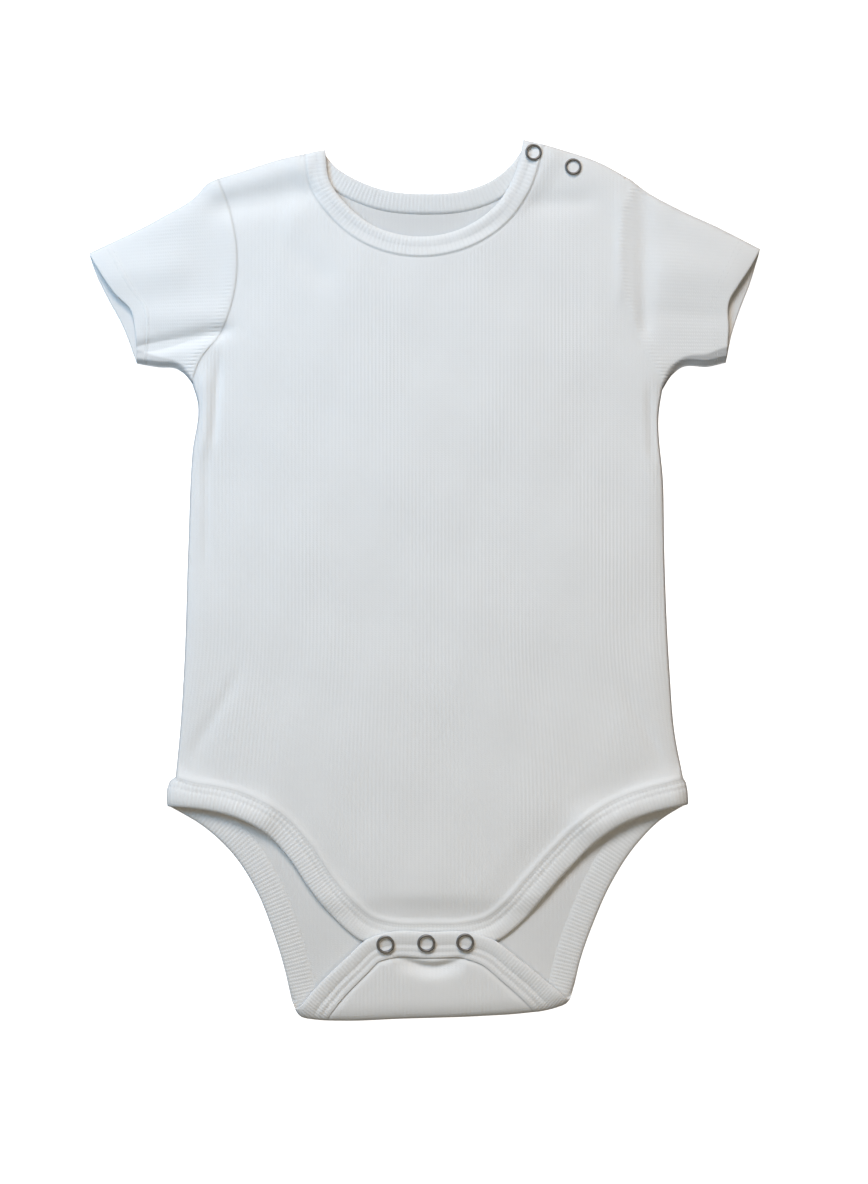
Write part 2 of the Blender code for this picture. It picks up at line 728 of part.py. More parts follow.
def sleeve(name, armhole, top, under, cuff_upper, cuff_lower, look):
    """A flattened tube of cloth from the armhole to the cuff, with ribs on its upper half."""
    armhole, top, under = curve(armhole), curve(top), curve(under)
    cuffs = {"upper": curve(cuff_upper), "lower": curve(cuff_lower)}
    side = math.copysign(1.0, top[-1, 0])

    def place(share, across, half):
        """A point at a share of the sleeve's length and shares of its width, from its top."""
        cuff = along(cuffs[half], across)
        root = along(armhole, across)
        across = np.asarray(across)[:, None]
        sides = (1 - across) * along(top, [share]) + across * along(under, [share])
        first = (1 - share) * armhole[0] + share * cuffs[half][0]
        last = (1 - share) * armhole[-1] + share * cuffs[half][-1]
        return (1 - share) * root + share * cuff + sides - (1 - across) * first - across * last

    def across_ribs(xy):
        """Millimetres across the ribs, from the top down. They fan out from a far point."""
        x, y = (xy - np.array((side * SLEEVE_FAN_X, SLEEVE_FAN_Y))).T
        return -SLEEVE_FAN_RADIUS * np.arctan2(y, -side * x)

    length = np.linalg.norm(top[-1] - top[0])
    hem = 1 - CUFF_HEM / length
    rings = (*SLEEVE_RINGS, hem - HEM_GROOVE_HALF, hem, hem + HEM_GROOVE_HALF, 1.0)
    fine = np.linspace(0, 1, 400)
    plain_shares = np.linspace(SLEEVE_PLAIN_INSET, 1 - SLEEVE_PLAIN_INSET, SLEEVE_PLAIN_POINTS)
    mesh = bmesh.new()
    outer_rings, inner_rings = [], []
    for number, share in enumerate(rings):
        share += SLEEVE_SEAM_GAP / length if number == 0 else 0
        line = place(share, fine, "upper")
        angle = across_ribs(line)
        marks = rib_marks(angle[0] + RIB_PITCH / 6, angle[-1] - RIB_PITCH / 6)
        keys = np.concatenate([[0.0], np.interp(marks, angle, fine), [1.0]])
        points = place(share, keys, "upper")
        inner_z, outer_z = upper_faces(points)
        groove = HEM_GROOVE if abs(share - hem) < 1e-6 else 0
        wave = np.concatenate([[0.0], ribs(marks), [0.0]])
        z = outer_z + wave - groove
        z[[0, -1]] = SLEEVE_FOLD_Z
        upper = [mesh.verts.new((*p, height)) for p, height in zip(points, z)]
        flat = place(share, plain_shares, "lower")
        lower = [mesh.verts.new((*p, 0.0)) for p in flat]
        lower = [upper[0], *lower, upper[-1]]
        lower_keys = [0.0, *plain_shares, 1.0]
        outer_rings.append((upper, np.concatenate([[angle[0]], marks, [angle[-1]]]), keys, lower, lower_keys))

        inner_keys = plain_shares
        if number in (0, len(rings) - 1):
            between = (keys > plain_shares[0]) & (keys < plain_shares[-1])
            inner_keys = np.concatenate([[plain_shares[0]], keys[between][::2], [plain_shares[-1]]])
        points = place(share, inner_keys, "upper")
        inner_z, _ = upper_faces(points)
        inner_upper = [mesh.verts.new((*p, height)) for p, height in zip(points, inner_z)]
        middle = plain_shares[1:-1]
        points = place(share, middle, "lower")
        inner_lower = [mesh.verts.new((*p, CLOTH)) for p in points]
        inner_lower = [inner_upper[0], *inner_lower, inner_upper[-1]]
        inner_rings.append((inner_upper, inner_keys, inner_lower))
    for a, b in zip(outer_rings, outer_rings[1:]):
        join_chains(mesh, a[0], b[0], a[1], b[1])
        for j in range(len(a[3]) - 1):
            mesh.faces.new([a[3][j], a[3][j + 1], b[3][j + 1], b[3][j]])
    for a, b in zip(inner_rings, inner_rings[1:]):
        join_chains(mesh, a[0], b[0], a[1], b[1])
        for j in range(len(a[2]) - 1):
            mesh.faces.new([a[2][j], a[2][j + 1], b[2][j + 1], b[2][j]])
    for outer, inner in ((outer_rings[0], inner_rings[0]), (outer_rings[-1], inner_rings[-1])):
        join_chains(mesh, outer[0], inner[0], outer[2], inner[1])
        join_chains(mesh, outer[3], inner[2], outer[4], plain_shares)
    return finish(name, mesh, look)


def on_upper_layer(line, height):
    low, _ = upper_faces(line)
    return np.column_stack([line, low]), np.column_stack([line, low + height])


def on_ground(line, height):
    return np.column_stack([line, 0 * height]), np.column_stack([line, height])


def on_back(line, height):
    """Both faces of the back's binding, crowned on the side that faces up."""
    past = line[:, 1] - fold_y(line[:, 0])
    on_tail = soft_step(0.5 - past / (2 * BEND_LENGTH))
    height = height * (1 - BEND_THINNING * np.exp(-((past / NEAR_FOLD) ** 2)))
    outer = -on_tail * (height - CLOTH - BINDING_BELOW)
    return folded(line, outer), folded(line, outer + height)


def binding_height(share):
    """Height of a binding's section at a share of its width from the free edge."""
    return BINDING * np.interp(share, *np.transpose(BINDING_SECTION))


def top_at_shoulder(xy):
    """Height of what lies under the shoulder snaps: the front, and the end of its binding."""
    inner, outer = upper_faces(xy)
    seam = curve(NECK_SEAM_FRONT)
    seam = seam[seam[:, 0] > NECK_BINDING_WIDTH]
    share = 1 - distance_to(seam, xy) / NECK_BINDING_WIDTH
    on_binding = xy[:, 0] < np.interp(xy[:, 1], seam[:, 1], seam[:, 0])
    return np.where(on_binding, inner + binding_height(share), outer + RIB_RISE / 2)


def top_at_crotch(xy):
    """Height of what lies under the crotch snaps: the binding along the end of the tail."""
    share = distance_to(curve(TAIL_EDGE), xy) / LEG_BINDING_WIDTH
    return tail_face(xy) + binding_height(share) - CLOTH - BINDING_BELOW


def snap(name, x, y, top, look):
    """A ring, seated on the cloth below it and leaning as the cloth does."""
    mesh = bmesh.new()
    rows = []
    turns = np.arange(SNAP_SIDES) * 2 * math.pi / SNAP_SIDES
    around = np.column_stack([np.cos(turns), np.sin(turns)])
    for direction in around:
        row = []
        for share, height in SNAP_SECTION:
            place = (*(SNAP_RADIUS * share * direction), SNAP_HEIGHT * height)
            row.append(mesh.verts.new(place))
        rows.append(row)
    for k, row in enumerate(rows):
        following = rows[(k + 1) % SNAP_SIDES]
        for j in range(len(SNAP_SECTION)):
            m = (j + 1) % len(SNAP_SECTION)
            mesh.faces.new([row[j], row[m], following[m], following[j]])
    made = finish(name, mesh, look)

    radii = np.array([share for share, height in SNAP_SECTION if height < 0.5]) * SNAP_RADIUS
    under = np.concatenate([radius * around for radius in radii])
    high = top(under + (x, y))
    plane = np.column_stack([under, np.ones(len(under))])
    lean = np.linalg.lstsq(plane, high, rcond=None)[0]
    above = (high - plane @ lean).max() + GAP
    made.location = Vector((x, y, lean[2] + above)) * MM
    made.rotation_euler = Vector((-lean[0], -lean[1], 1)).to_track_quat("Z", "Y").to_euler()


def snaps(look):
    for name, x, y in SHOULDER_SNAPS:
        snap(name, x, y, top_at_shoulder, look)
    for name, x, y in CROTCH_SNAPS:
        snap(name, x, y, top_at_crotch, look)


def main():
    for old in list(bpy.data.objects):
        bpy.data.objects.remove(old, do_unlink=True)
    knit = material("rib_knit", (0.86, 0.88, 0.9), 0.9, 0.0)
    bound = material("binding_knit", (0.88, 0.89, 0.9), 0.85, 0.0)
    steel = material("snap_steel", (0.3, 0.29, 0.28), 0.35, 1.0)
    back_panel(knit)
    front_panel(knit)
    sleeve(
        "sleeve_left",
        ARMHOLE_LEFT,
        SLEEVE_TOP_LEFT,
        SLEEVE_UNDER_LEFT,
        CUFF_UPPER_LEFT,
        CUFF_LOWER_LEFT,
        knit,
    )
    sleeve(
        "sleeve_right",
        ARMHOLE_RIGHT,
        SLEEVE_TOP_RIGHT,
        SLEEVE_UNDER_RIGHT,
        CUFF_UPPER_RIGHT,
        CUFF_LOWER_RIGHT,
        knit,
    )
    neck_edge_front = offset(curve(NECK_SEAM_FRONT), NECK_BINDING_WIDTH)[::-1]
    binding("neck_binding_front", neck_edge_front, NECK_BINDING_WIDTH, on_upper_layer, near_none, bound)
    neck_edge_back = curve(NECK_EDGE_BACK)[::-1]
    binding("neck_binding_back", neck_edge_back, NECK_BINDING_WIDTH, on_ground, near_none, bound)
    leg_edge_front = curve(LEG_EDGE_FRONT)
    binding("leg_binding_front", leg_edge_front, LEG_BINDING_WIDTH, on_upper_layer, near_none, bound)
    binding("leg_binding_back", back_leg_edge(), LEG_BINDING_WIDTH, on_back, near_fold, bound)
    snaps(steel)


main()
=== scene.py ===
"""The look of a short-sleeved baby bodysuit in white rib knit, laid flat on its back.

The neck points to +Y, the crotch to -Y, and the ground is the plane Z = 0. Each piece of cloth is
a thin shell on the form of its solid, with finer creases, seams, ribs and stitches. Lines, tables
and heights are in millimetres until a mesh is made.
"""

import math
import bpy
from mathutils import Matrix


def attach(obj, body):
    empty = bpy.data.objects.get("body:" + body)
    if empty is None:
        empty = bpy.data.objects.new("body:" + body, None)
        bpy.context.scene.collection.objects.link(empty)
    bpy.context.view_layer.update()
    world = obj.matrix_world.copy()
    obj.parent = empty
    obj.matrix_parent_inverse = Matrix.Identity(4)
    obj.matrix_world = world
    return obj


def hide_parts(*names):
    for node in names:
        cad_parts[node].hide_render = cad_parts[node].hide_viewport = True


bl_info = {
    "name": "Baby Bodysuit",
    "version": (1, 0, 0),
    "blender": (4, 5, 0),
    "location": "View3D > Sidebar > Bodysuit",
    "description": "Makes a ribbed baby bodysuit, laid flat, piece by piece",
    "category": "Add Mesh",
}

import bmesh
import bpy
import numpy as np
from mathutils import Matrix, Vector, geometry

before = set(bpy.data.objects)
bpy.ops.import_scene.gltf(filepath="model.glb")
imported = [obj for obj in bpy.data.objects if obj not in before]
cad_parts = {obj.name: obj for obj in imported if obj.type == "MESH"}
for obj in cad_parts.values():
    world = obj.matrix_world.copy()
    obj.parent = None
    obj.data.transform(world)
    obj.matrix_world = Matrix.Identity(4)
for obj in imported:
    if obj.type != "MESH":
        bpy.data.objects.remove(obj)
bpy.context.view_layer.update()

MM = 0.001

# Cloth
CLOTH = 1.2  # one layer of rib knit
GAP = 0.3  # between two pieces
HIP_STRETCH = 0.08  # how much wider the ribs lie at the hips
STRETCH_START = -20.0  # y from where they widen, and over how much
STRETCH_RUN = 90.0
BODY_AXIS = 1.5  # x of the rib that runs down the middle
RIB_CUTS = 4  # columns of points for each rib
SHARP = math.radians(55)  # faces that meet at more than this don't blend
MERGED = 0.03  # points of the cut cloth that lie closer than this are one
ON_LINE = 0.3  # points of an outline this close to a line belong to it
THINNEST = 0.25  # of a wall where it is pressed flat
SEWN_THINNEST = 0.2  # and where stitches or a seam pull it in
BATCH = 4000  # how many points are measured at a time

# Bound edges
BINDING = 2.2  # height of a bound edge
LEG_BINDING_WIDTH = 12.5
NECK_BINDING_WIDTH = 10.0
BINDING_BELOW = 0.5  # how far the tail's binding stands below the tail's inner face
BEND_THINNING = 0.42  # share of its height that a binding loses where it bends round the fold
NEAR_FOLD = 4.2  # how far from the fold it thins
SWEEP_REACH = 14.0  # how far from its ends a binding is led to the lines that it ends on
EVENED = 9  # how many points of an edge share one direction

# Lie of the upper layer over the lower one
LAY = CLOTH + GAP
LOFT = 1.8  # how far its outer face stands above that of cloth lying flat
LOFT_BELOW = 0.6  # how far its inner face stands off the lower layer
ROLL = 9.0  # width over which it comes down to a closed edge
RIDE_REACH = 8.0  # half the width of the strip that rides over a lower binding
RIDE_FADE = 10.0
CROTCH_FLAT = (-150.0, -165.0)  # y where the loft starts to fade, and where it is gone
RIM_TOP = 0.6  # height of the upper layer's outer face at a closed edge
RIM_UNDER = 0.3  # and of its inner face
RIM_ROLL = 1.0  # width over which the outer face turns down there
UNDER_START = 0.15  # from the edge to where the inner face starts to rise, and over how much
UNDER_ROLL = 1.6
SLOPE_LEFT = 2.8  # how far in from the lower edge of a sleeve its upper layer slopes down
SLOPE_RIGHT = 3.3
SLOPE_FALL = 0.95  # share of its height that it loses there
SLOPE_STARTS = (-112.5, 115.0)  # x at the armpits, from where the slopes grow
SLOPE_GROWS = 7.0
BACK_INSET = 0.7  # how far the lower layer stops short of a closed edge
BACK_RIM = 0.3
SEAM_GAP = 0.01  # half the gap between two pieces at a seam

# Fold of the tail
FOLD_RADIUS = 2.7
FOLD_ENDS = (-62.6, 71.3)  # x of its ends
FOLD_CORNER = 5.0  # radius of its corners
TAIL_RISE = 0.5  # from the fold to where the tail rests on the front
TAIL_RISE_LENGTH = 22.0
BEND_STEP = 2.5  # between the points along the fold
BEND_ROWS = 11  # of points round it
BEND_LENGTH = math.pi * (FOLD_RADIUS - CLOTH / 2) / 2  # of cloth, in half of the fold
BEND_TAKE_UP = BEND_LENGTH - FOLD_RADIUS
FOLD_SMOOTH = 5.0  # how far from the fold the bindings' steps and dents fade
NOSE_Z = 1.6  # height of the foremost point of the fold
NOSE_REACH = 9.0  # from there to where the tail lies level

# Sleeves
CUFF_HEM = 11.0
HEM_THICKER = 0.35  # how much more the turned hem stands out
HEM_ROW_GAP = 2.4  # from the hem's row of stitches back to the one nearer the cuff
HEM_RIGHT = 0.1  # share of the left hem's thickness that shows on the right one
HEM_DENTS = {"left": 0.24, "right": 0.03}  # how deep its stitches pull the cloth in
SLEEVE_FOLD_Z = 1.3  # height of the middle of the folded edges
SLEEVE_FAN_X = 900.0  # the point that a sleeve's ribs fan out from, beyond its cuff
SLEEVE_FAN_Y = 105.0
SLEEVE_FAN_RADIUS = 790.0  # from that point to where the ribs have their full pitch

# Outlines. Each row is one point: x, y.
SHOULDER_LEFT = ((-49.0, 206.5), (-57.5, 204.8), (-68.0, 202.6), (-88.5, 196.2), (-99.0, 193.0))
SLEEVE_TOP_LEFT = ((-99.0, 193.0), (-104.5, 190.2), (-108.5, 185.5), (-127.5, 173.5), (-161.0, 157.0))
ARMHOLE_LEFT = (
    (-99.0, 193.0),
    (-93.0, 177.0),
    (-89.5, 156.5),
    (-91.0, 137.0),
    (-97.5, 118.5),
    (-107.5, 105.0),
    (-111.5, 94.5),
)
CUFF_UPPER_LEFT = (
    (-161.0, 157.0),
    (-155.0, 147.0),
    (-148.0, 137.0),
    (-141.0, 130.0),
    (-138.5, 118.5),
    (-138.0, 104.0),
)
CUFF_LOWER_LEFT = ((-161.0, 157.0), (-158.0, 148.0), (-151.5, 134.5), (-145.5, 123.5), (-138.0, 104.0))
SLEEVE_UNDER_LEFT = ((-111.5, 94.5), (-114.5, 98.5), (-119.0, 101.5), (-127.5, 102.2), (-138.0, 104.0))
SIDE_LEFT = (
    (-111.5, 94.5),
    (-109.0, 86.0),
    (-111.5, 61.0),
    (-113.5, 14.5),
    (-115.5, -43.0),
    (-117.5, -73.5),
    (-119.5, -94.0),
)

SHOULDER_RIGHT = ((49.0, 211.0), (56.5, 209.5), (67.0, 206.5), (83.0, 201.0), (98.0, 193.0))
SLEEVE_TOP_RIGHT = ((98.0, 193.0), (106.5, 186.5), (120.0, 179.0), (141.0, 169.3), (161.0, 159.0))
ARMHOLE_RIGHT = (
    (98.0, 193.0),
    (93.0, 178.5),
    (91.0, 161.0),
    (94.5, 136.0),
    (100.0, 119.0),
    (106.5, 107.5),
    (114.0, 91.5),
)
CUFF_UPPER_RIGHT = (
    (161.0, 159.0),
    (156.2, 150.3),
    (149.8, 140.6),
    (146.0, 134.2),
    (145.6, 120.0),
    (144.5, 104.5),
)
CUFF_LOWER_RIGHT = ((161.0, 159.0), (156.0, 142.5), (151.0, 129.5), (147.5, 119.0), (144.5, 104.5))
SLEEVE_UNDER_RIGHT = ((114.0, 91.5), (118.5, 98.5), (123.5, 102.3), (136.0, 102.5), (144.5, 104.5))
SIDE_RIGHT = (
    (114.0, 91.5),
    (112.5, 82.0),
    (114.5, 45.5),
    (115.0, 14.5),
    (117.5, -43.0),
    (120.0, -73.5),
    (124.0, -94.5),
)

NECK_SEAM_FRONT = (
    (-57.5, 204.8),
    (-55.0, 188.5),
    (-43.5, 172.0),
    (-27.0, 160.2),
    (-12.0, 155.7),
    (2.5, 155.0),
    (23.0, 160.0),
    (40.5, 172.0),
    (50.5, 186.5),
    (55.5, 201.0),
    (57.0, 209.4),
)
NECK_EDGE_BACK = (
    (-49.0, 206.0),
    (-43.0, 198.8),
    (-33.0, 192.5),
    (-20.0, 187.6),
    (0.0, 185.6),
    (20.0, 187.3),
    (33.0, 192.5),
    (41.0, 199.0),
    (48.0, 208.5),
)

LEG_EDGE_FRONT = (
    (-123.5, -108.0),
    (-108.0, -109.3),
    (-90.0, -113.5),
    (-76.0, -121.0),
    (-64.5, -133.5),
    (-54.5, -148.5),
    (-43.5, -161.5),
    (-30.5, -172.3),
    (-16.0, -176.3),
    (2.0, -176.8),
    (20.0, -176.3),
    (36.0, -171.8),
    (46.5, -163.5),
    (57.5, -151.0),
    (70.0, -137.0),
    (84.0, -123.5),
    (97.0, -115.5),
    (111.0, -110.5),
    (126.5, -107.0),
)
LEG_EDGE_BACK_LEFT = (
    (-123.2, -108.2),
    (-108.0, -116.5),
    (-92.0, -131.0),
    (-81.0, -148.0),
    (-72.5, -169.0),
    (-67.0, -187.0),
    (-64.0, -200.0),
)
LEG_EDGE_BACK_RIGHT = (
    (71.5, -195.0),
    (74.5, -182.5),
    (81.0, -164.0),
    (89.5, -145.0),
    (102.0, -126.0),
    (113.5, -114.5),
    (126.2, -107.3),
)
# Ends of the leg bindings at the hips, from the free edge up to the side
HIP_END_LEFT = ((-123.5, -108.0), (-123.9, -103.5), (-123.4, -99.0), (-121.9, -95.6), (-119.5, -94.0))
HIP_END_RIGHT = ((126.5, -107.0), (126.3, -103.2), (125.9, -99.6), (125.2, -96.6), (124.0, -94.5))
TAIL_EDGE = (
    (-58.5, -202.5),
    (-49.5, -192.0),
    (-36.5, -179.5),
    (-27.5, -171.5),
    (-18.0, -168.3),
    (2.0, -167.9),
    (22.0, -168.3),
    (34.0, -172.3),
    (45.5, -181.0),
    (59.0, -192.0),
    (66.5, -198.5),
)
FOLD_EDGE = (
    (-66.0, -206.5),
    (-60.0, -209.0),
    (-50.0, -210.6),
    (-37.0, -211.0),
    (-13.0, -210.1),
    (27.5, -208.7),
    (47.0, -207.4),
    (60.0, -205.5),
    (68.0, -202.8),
    (74.0, -199.5),
)

# Folds and creases of the upper layer: the line of each from its start to its end, half its width
# and its height, which is negative for a trough.
# start x, start y, end x, end y, half width, height
FOLDS = (
    (-137.0, 110.5, -100.0, 118.5, 3.6, -2.3),
    (-127.0, 126.0, -104.0, 127.5, 6.0, 0.8),
    (-98.8, 97.5, -100.5, 74.0, 2.2, -1.1),
    (-105.5, 92.0, -106.5, 66.0, 3.0, 1.2),
    (-104.5, 55.0, -104.5, 15.0, 2.2, -0.5),
    (105.0, 187.0, 105.5, 124.0, 3.8, -1.3),
    (94.0, 178.0, 93.5, 140.0, 3.0, 0.6),
    (-95.0, 179.5, -55.0, 187.0, 6.5, -2.0),
    (-92.0, 189.0, -62.0, 198.0, 4.5, 0.5),
    (-58.0, 186.0, -66.0, 160.0, 6.0, 0.5),
    (118.0, 150.0, 146.0, 146.0, 11.0, 1.1),
    (115.0, 128.0, 138.0, 126.0, 5.0, -0.4),
    (-120.0, 150.0, -148.0, 146.0, 10.0, 1.4),
    (-64.0, 158.0, -50.0, 147.0, 7.0, -0.9),
    (58.0, 180.5, 74.0, 181.5, 5.0, -1.0),
    (-14.0, -157.5, 14.0, -157.5, 5.0, -0.45),
    (-108.0, -77.0, -93.0, -52.0, 3.2, -0.7),
    (108.0, 84.0, 109.0, 66.0, 2.4, -0.7),
    (110.0, -80.0, 99.0, -58.0, 3.2, -0.6),
    (-118.0, -104.0, -78.0, -113.0, 9.0, 1.8),
    (120.0, -104.0, 78.0, -116.0, 9.0, 2.4),
)
FOLD_FADE = 8.0  # over which each end of a fold dies away
NARROW_FOLD = 4.5  # half the width of the narrowest fold that shows on the inner face too

# Long soft waves of cloth that lies by its own weight: wave length, direction, phase, height
WAVES = (
    (61.0, 0.35, 0.4, 0.16),
    (43.0, 1.25, 2.1, 0.12),
    (87.0, 2.20, 4.4, 0.18),
    (29.0, 2.75, 1.3, 0.06),
)

# Crease across the tail below its binding. It is steep above and shallow below.
TAIL_CREASE = (
    (-15.0, -181.0),
    (-8.0, -182.6),
    (0.0, -184.6),
    (5.0, -184.9),
    (12.0, -183.6),
    (20.0, -181.0),
)
TAIL_CREASE_ABOVE = 2.2  # its half widths
TAIL_CREASE_BELOW = 4.0
TAIL_CREASE_DEPTH = 3.1
TAIL_CREASE_MIDDLE = 2.5  # x, and how far from there it dies away
TAIL_CREASE_REACH = 18.0

# Sections of the bindings, by the distance from the free edge
GROUND_CROWN = (
    (0.0, 0.75),
    (0.1, 1.15),
    (0.35, 1.55),
    (0.9, 1.88),
    (1.8, 2.1),
    (3.2, 2.2),
    (5.0, 2.16),
    (6.5, 2.04),
    (8.0, 1.9),
    (9.2, 1.86),
    (10.4, 1.7),
    (11.5, 1.46),
    (12.5, 1.24),
)
NECK_CROWN = (
    (0.0, 0.95),
    (0.06, 1.6),
    (0.25, 1.9),
    (0.8, 2.08),
    (1.8, 2.18),
    (3.0, 2.2),
    (4.2, 2.12),
    (5.5, 2.1),
    (7.0, 2.05),
    (8.4, 1.85),
    (9.2, 1.5),
    (9.7, 1.05),
    (10.0, 0.75),
)
# Shares of the height at the crest
LEG_EDGE_RISE = (
    (0.0, 0.42),
    (0.12, 0.58),
    (0.4, 0.72),
    (1.0, 0.85),
    (2.0, 0.94),
    (3.0, 0.98),
    (4.5, 1.0),
)
# Heights above the outer face of the cloth beside the seam
LEG_CREST = 0.2
LEG_PLATEAU = ((4.5, 0.2), (6.5, 0.1), (8.2, -0.08), (9.6, -0.04), (10.9, -0.1), (12.5, 0.0))
TAIL_CROWN = (
    (0.0, -0.78),
    (0.06, -0.3),
    (0.25, 0.0),
    (0.7, 0.22),
    (1.3, 0.34),
    (2.1, 0.38),
    (3.0, 0.32),
    (4.2, 0.15),
    (5.4, -0.06),
    (6.5, -0.18),
    (8.0, -0.1),
    (9.7, -0.2),
    (11.1, -0.1),
    (12.2, -0.16),
    (12.5, -0.3),
)
# How far the underside lifts, by shares of the width and of the binding's height
LIFT = ((0.0, 0.28), (0.03, 0.12), (0.09, 0.02), (0.5, 0.0), (1.0, 0.0))

# Sewing
NEEDLE_DENT = 0.2  # how deep the stitches pull the cloth in
NEEDLE_WIDTH = 0.55  # half the width of that dent
LEG_NEEDLES = (8.2, 10.9)  # from the free edge to each row of stitches
TAIL_NEEDLES = (6.5, 9.7)
NECK_NEEDLES = (4.5,)
NECK_SEAM_PAINTED_SHADE = 0.08  # painted shade: how much darker the cloth is painted in the neck's seam
ARM_SEAM_PAINTED_SHADE = 0.12  # painted shade in the left sleeve's seam
NECK_INSIDE_PAINTED_SHADE = 0.17  # painted shade on the back's inner face behind the neck, seen through the opening
INSIDE_PAINTED_SHADE = 0.08  # painted shade on the inner faces elsewhere
# painted shade on the back's bindings, seen inside the openings
INSIDE_BINDING_PAINTED_SHADE = 0.06
NEEDLE_PAINTED_SHADE = 0.04  # painted shade: how much darker the cloth is painted in the stitches' dents
SEAM_PAINTED_SHADE = 0.1  # painted shade in a binding's seam
SEAM_PAINTED_SHADE_WIDTH = 0.6
TAIL_SEAM_PAINTED_SHADE = 0.25  # painted shade in the tail's seam, where it lies deepest
FOLD_CROWN = 0.1  # height of the tail's binding where it rounds the fold
STRIP_RISE = 0.22  # of the cloth over the seam allowance beside a leg binding
STRIP_FALL = (0.4, 1.8)  # from the seam to where it falls off, and over how much
DIP_DEPTH = 0.4  # of the dip beyond it
DIP_START = (0.8, 2.5)
DIP_END = (4.0, 12.0)
SEWN_FADE = 2.5  # how far in from a closed edge the sewing shows in full
NECK_STEP = 0.45  # how far the binding stands above the cloth at its seam
NECK_GROOVE = 0.15
NECK_GROOVE_WIDTH = 0.5
TAIL_STEP = 0.85  # how far the tail's cloth goes down at the seam of its binding
TAIL_STEP_WIDTH = 1.3
ARM_STEP = 0.4  # how far the left sleeve stands above the front at its seam

# Painted shade on the sleeves' cloth where it turns under, a wedge that widens towards the cuff
UNDER_SHADES = {"left": 0.24, "right": 0.4}
UNDER_SHADE_START = 110.0  # from the middle of the body to its tip, and how long it is
UNDER_SHADE_RUN = 34.0
UNDER_SHADE_WIDTH = 8.0  # at the cuff
UNDER_SHADE_EDGE = 1.5

# Snaps
SNAP_NODES = (
    "snap_shoulder_neck",
    "snap_shoulder",
    "snap_crotch_left",
    "snap_crotch_middle",
    "snap_crotch_right",
)
SNAP_SIDES = 64
SHOULDER_SNAP = 0.92  # size of the shoulder's snaps, to the others
# Section of the ring: distance from its axis, height
SNAP_SECTION = (
    (4.30, 0.12),
    (4.35, 0.30),
    (4.33, 0.50),
    (4.24, 0.72),
    (4.08, 0.88),
    (3.86, 0.97),
    (3.62, 0.98),
    (3.42, 0.91),
    (3.26, 0.78),
    (3.15, 0.58),
    (3.10, 0.34),
    (3.12, 0.10),
    (3.22, 0.00),
    (4.10, 0.00),
)


# What a user may change


def length(name, description, default):
    """A length in millimetres that a user may change."""
    return bpy.props.FloatProperty(
        name=name, description=description, default=default * MM, min=0.0, unit="LENGTH", precision=5
    )


def colour(name, description, default):
    """A colour that a user may change."""
    return bpy.props.FloatVectorProperty(
        name=name, description=description, default=default, min=0.0, max=1.0, size=3, subtype="COLOR"
    )


class BodysuitSizes(bpy.types.PropertyGroup):
    """Sizes of the knit and of the sewing"""

    rib_pitch: length("Rib pitch", "From one rib of the body to the next, unstretched", 1.75)
    rib_rise: length("Rib rise", "From the floor of a groove to the crest of a rib", 0.09)
    band_pitch: length("Binding rib pitch", "From one rib of a binding to the next", 1.75)
    band_rise: length("Binding rib rise", "Height of the ribs that cross a binding", 0.2)
    course: length("Course", "Height of one row of knitted loops", 1.1)
    stitch_length: length("Stitch", "Length of one visible stitch", 1.9)
    stitch_gap: length("Stitch gap", "From one stitch to the next", 0.6)
    thread: length("Thread", "Thickness of the sewing thread", 0.2)


class BodysuitColours(bpy.types.PropertyGroup):
    """Colours of the cloth, the snaps and the floor"""

    knit: colour("Knit", "White cotton of the rib knit", (0.81, 0.815, 0.81))
    binding: colour("Binding", "White cotton of the bindings", (0.82, 0.825, 0.82))
    thread: colour("Thread", "Sewing thread", (0.80, 0.81, 0.81))
    steel: colour("Snaps", "Darkened steel of the ring snaps", (0.16, 0.155, 0.15))
    floor: colour("Floor", "Pale floor below the cloth", (0.9, 0.9, 0.9))


# Lines in the plane


def curve(points, step=2.0):
    """A smooth line through the points, with a sample about every step."""
    p = np.array(points, float)
    run = run_of(p)
    slope = np.gradient(p, run, axis=0)
    pieces = []
    for i, span in enumerate(np.diff(run)):
        count = max(1, round(span / step))
        s = (np.arange(count) / count)[:, None]
        start = (1 + 2 * s) * (1 - s) ** 2 * p[i] + s * (1 - s) ** 2 * span * slope[i]
        end = s * s * (3 - 2 * s) * p[i + 1] - s * s * (1 - s) * span * slope[i + 1]
        pieces.append(start + end)
    pieces.append(p[-1:])
    return np.concatenate(pieces)


def run_of(line):
    """How far each point of a line is along it."""
    return np.concatenate([[0.0], np.cumsum(np.linalg.norm(np.diff(line, axis=0), axis=1))])


def along(line, shares):
    """Points at the given shares of a line's length."""
    run = run_of(line)
    where = np.asarray(shares) * run[-1]
    return np.stack([np.interp(where, run, line[:, 0]), np.interp(where, run, line[:, 1])], axis=1)


def even(line, step):
    """The line resampled at one even step."""
    return along(line, np.linspace(0, 1, max(2, round(run_of(line)[-1] / step)) + 1))


def unit(vectors):
    """The vectors at a length of 1."""
    return vectors / np.linalg.norm(vectors, axis=1)[:, None]


def left_of(directions):
    """Unit vectors to the left of the directions."""
    ahead = unit(directions)
    return np.stack([-ahead[:, 1], ahead[:, 0]], axis=1)


def offset(line, distance):
    """The line moved to its left by the distance."""
    return line + distance * left_of(np.gradient(line, axis=0))


def loop_of(*lines):
    """One closed loop from lines laid end to end, without the points that they share."""
    points = np.concatenate(lines)
    keep = np.linalg.norm(points - np.roll(points, 1, axis=0), axis=1) > 0.05
    return points[keep]


def drawn_in(loop, distance):
    """An anticlockwise loop moved inwards by the distance, which may differ along it."""
    inwards = left_of(np.roll(loop, -1, axis=0) - np.roll(loop, 1, axis=0))
    return loop + np.reshape(distance, (-1, 1)) * inwards


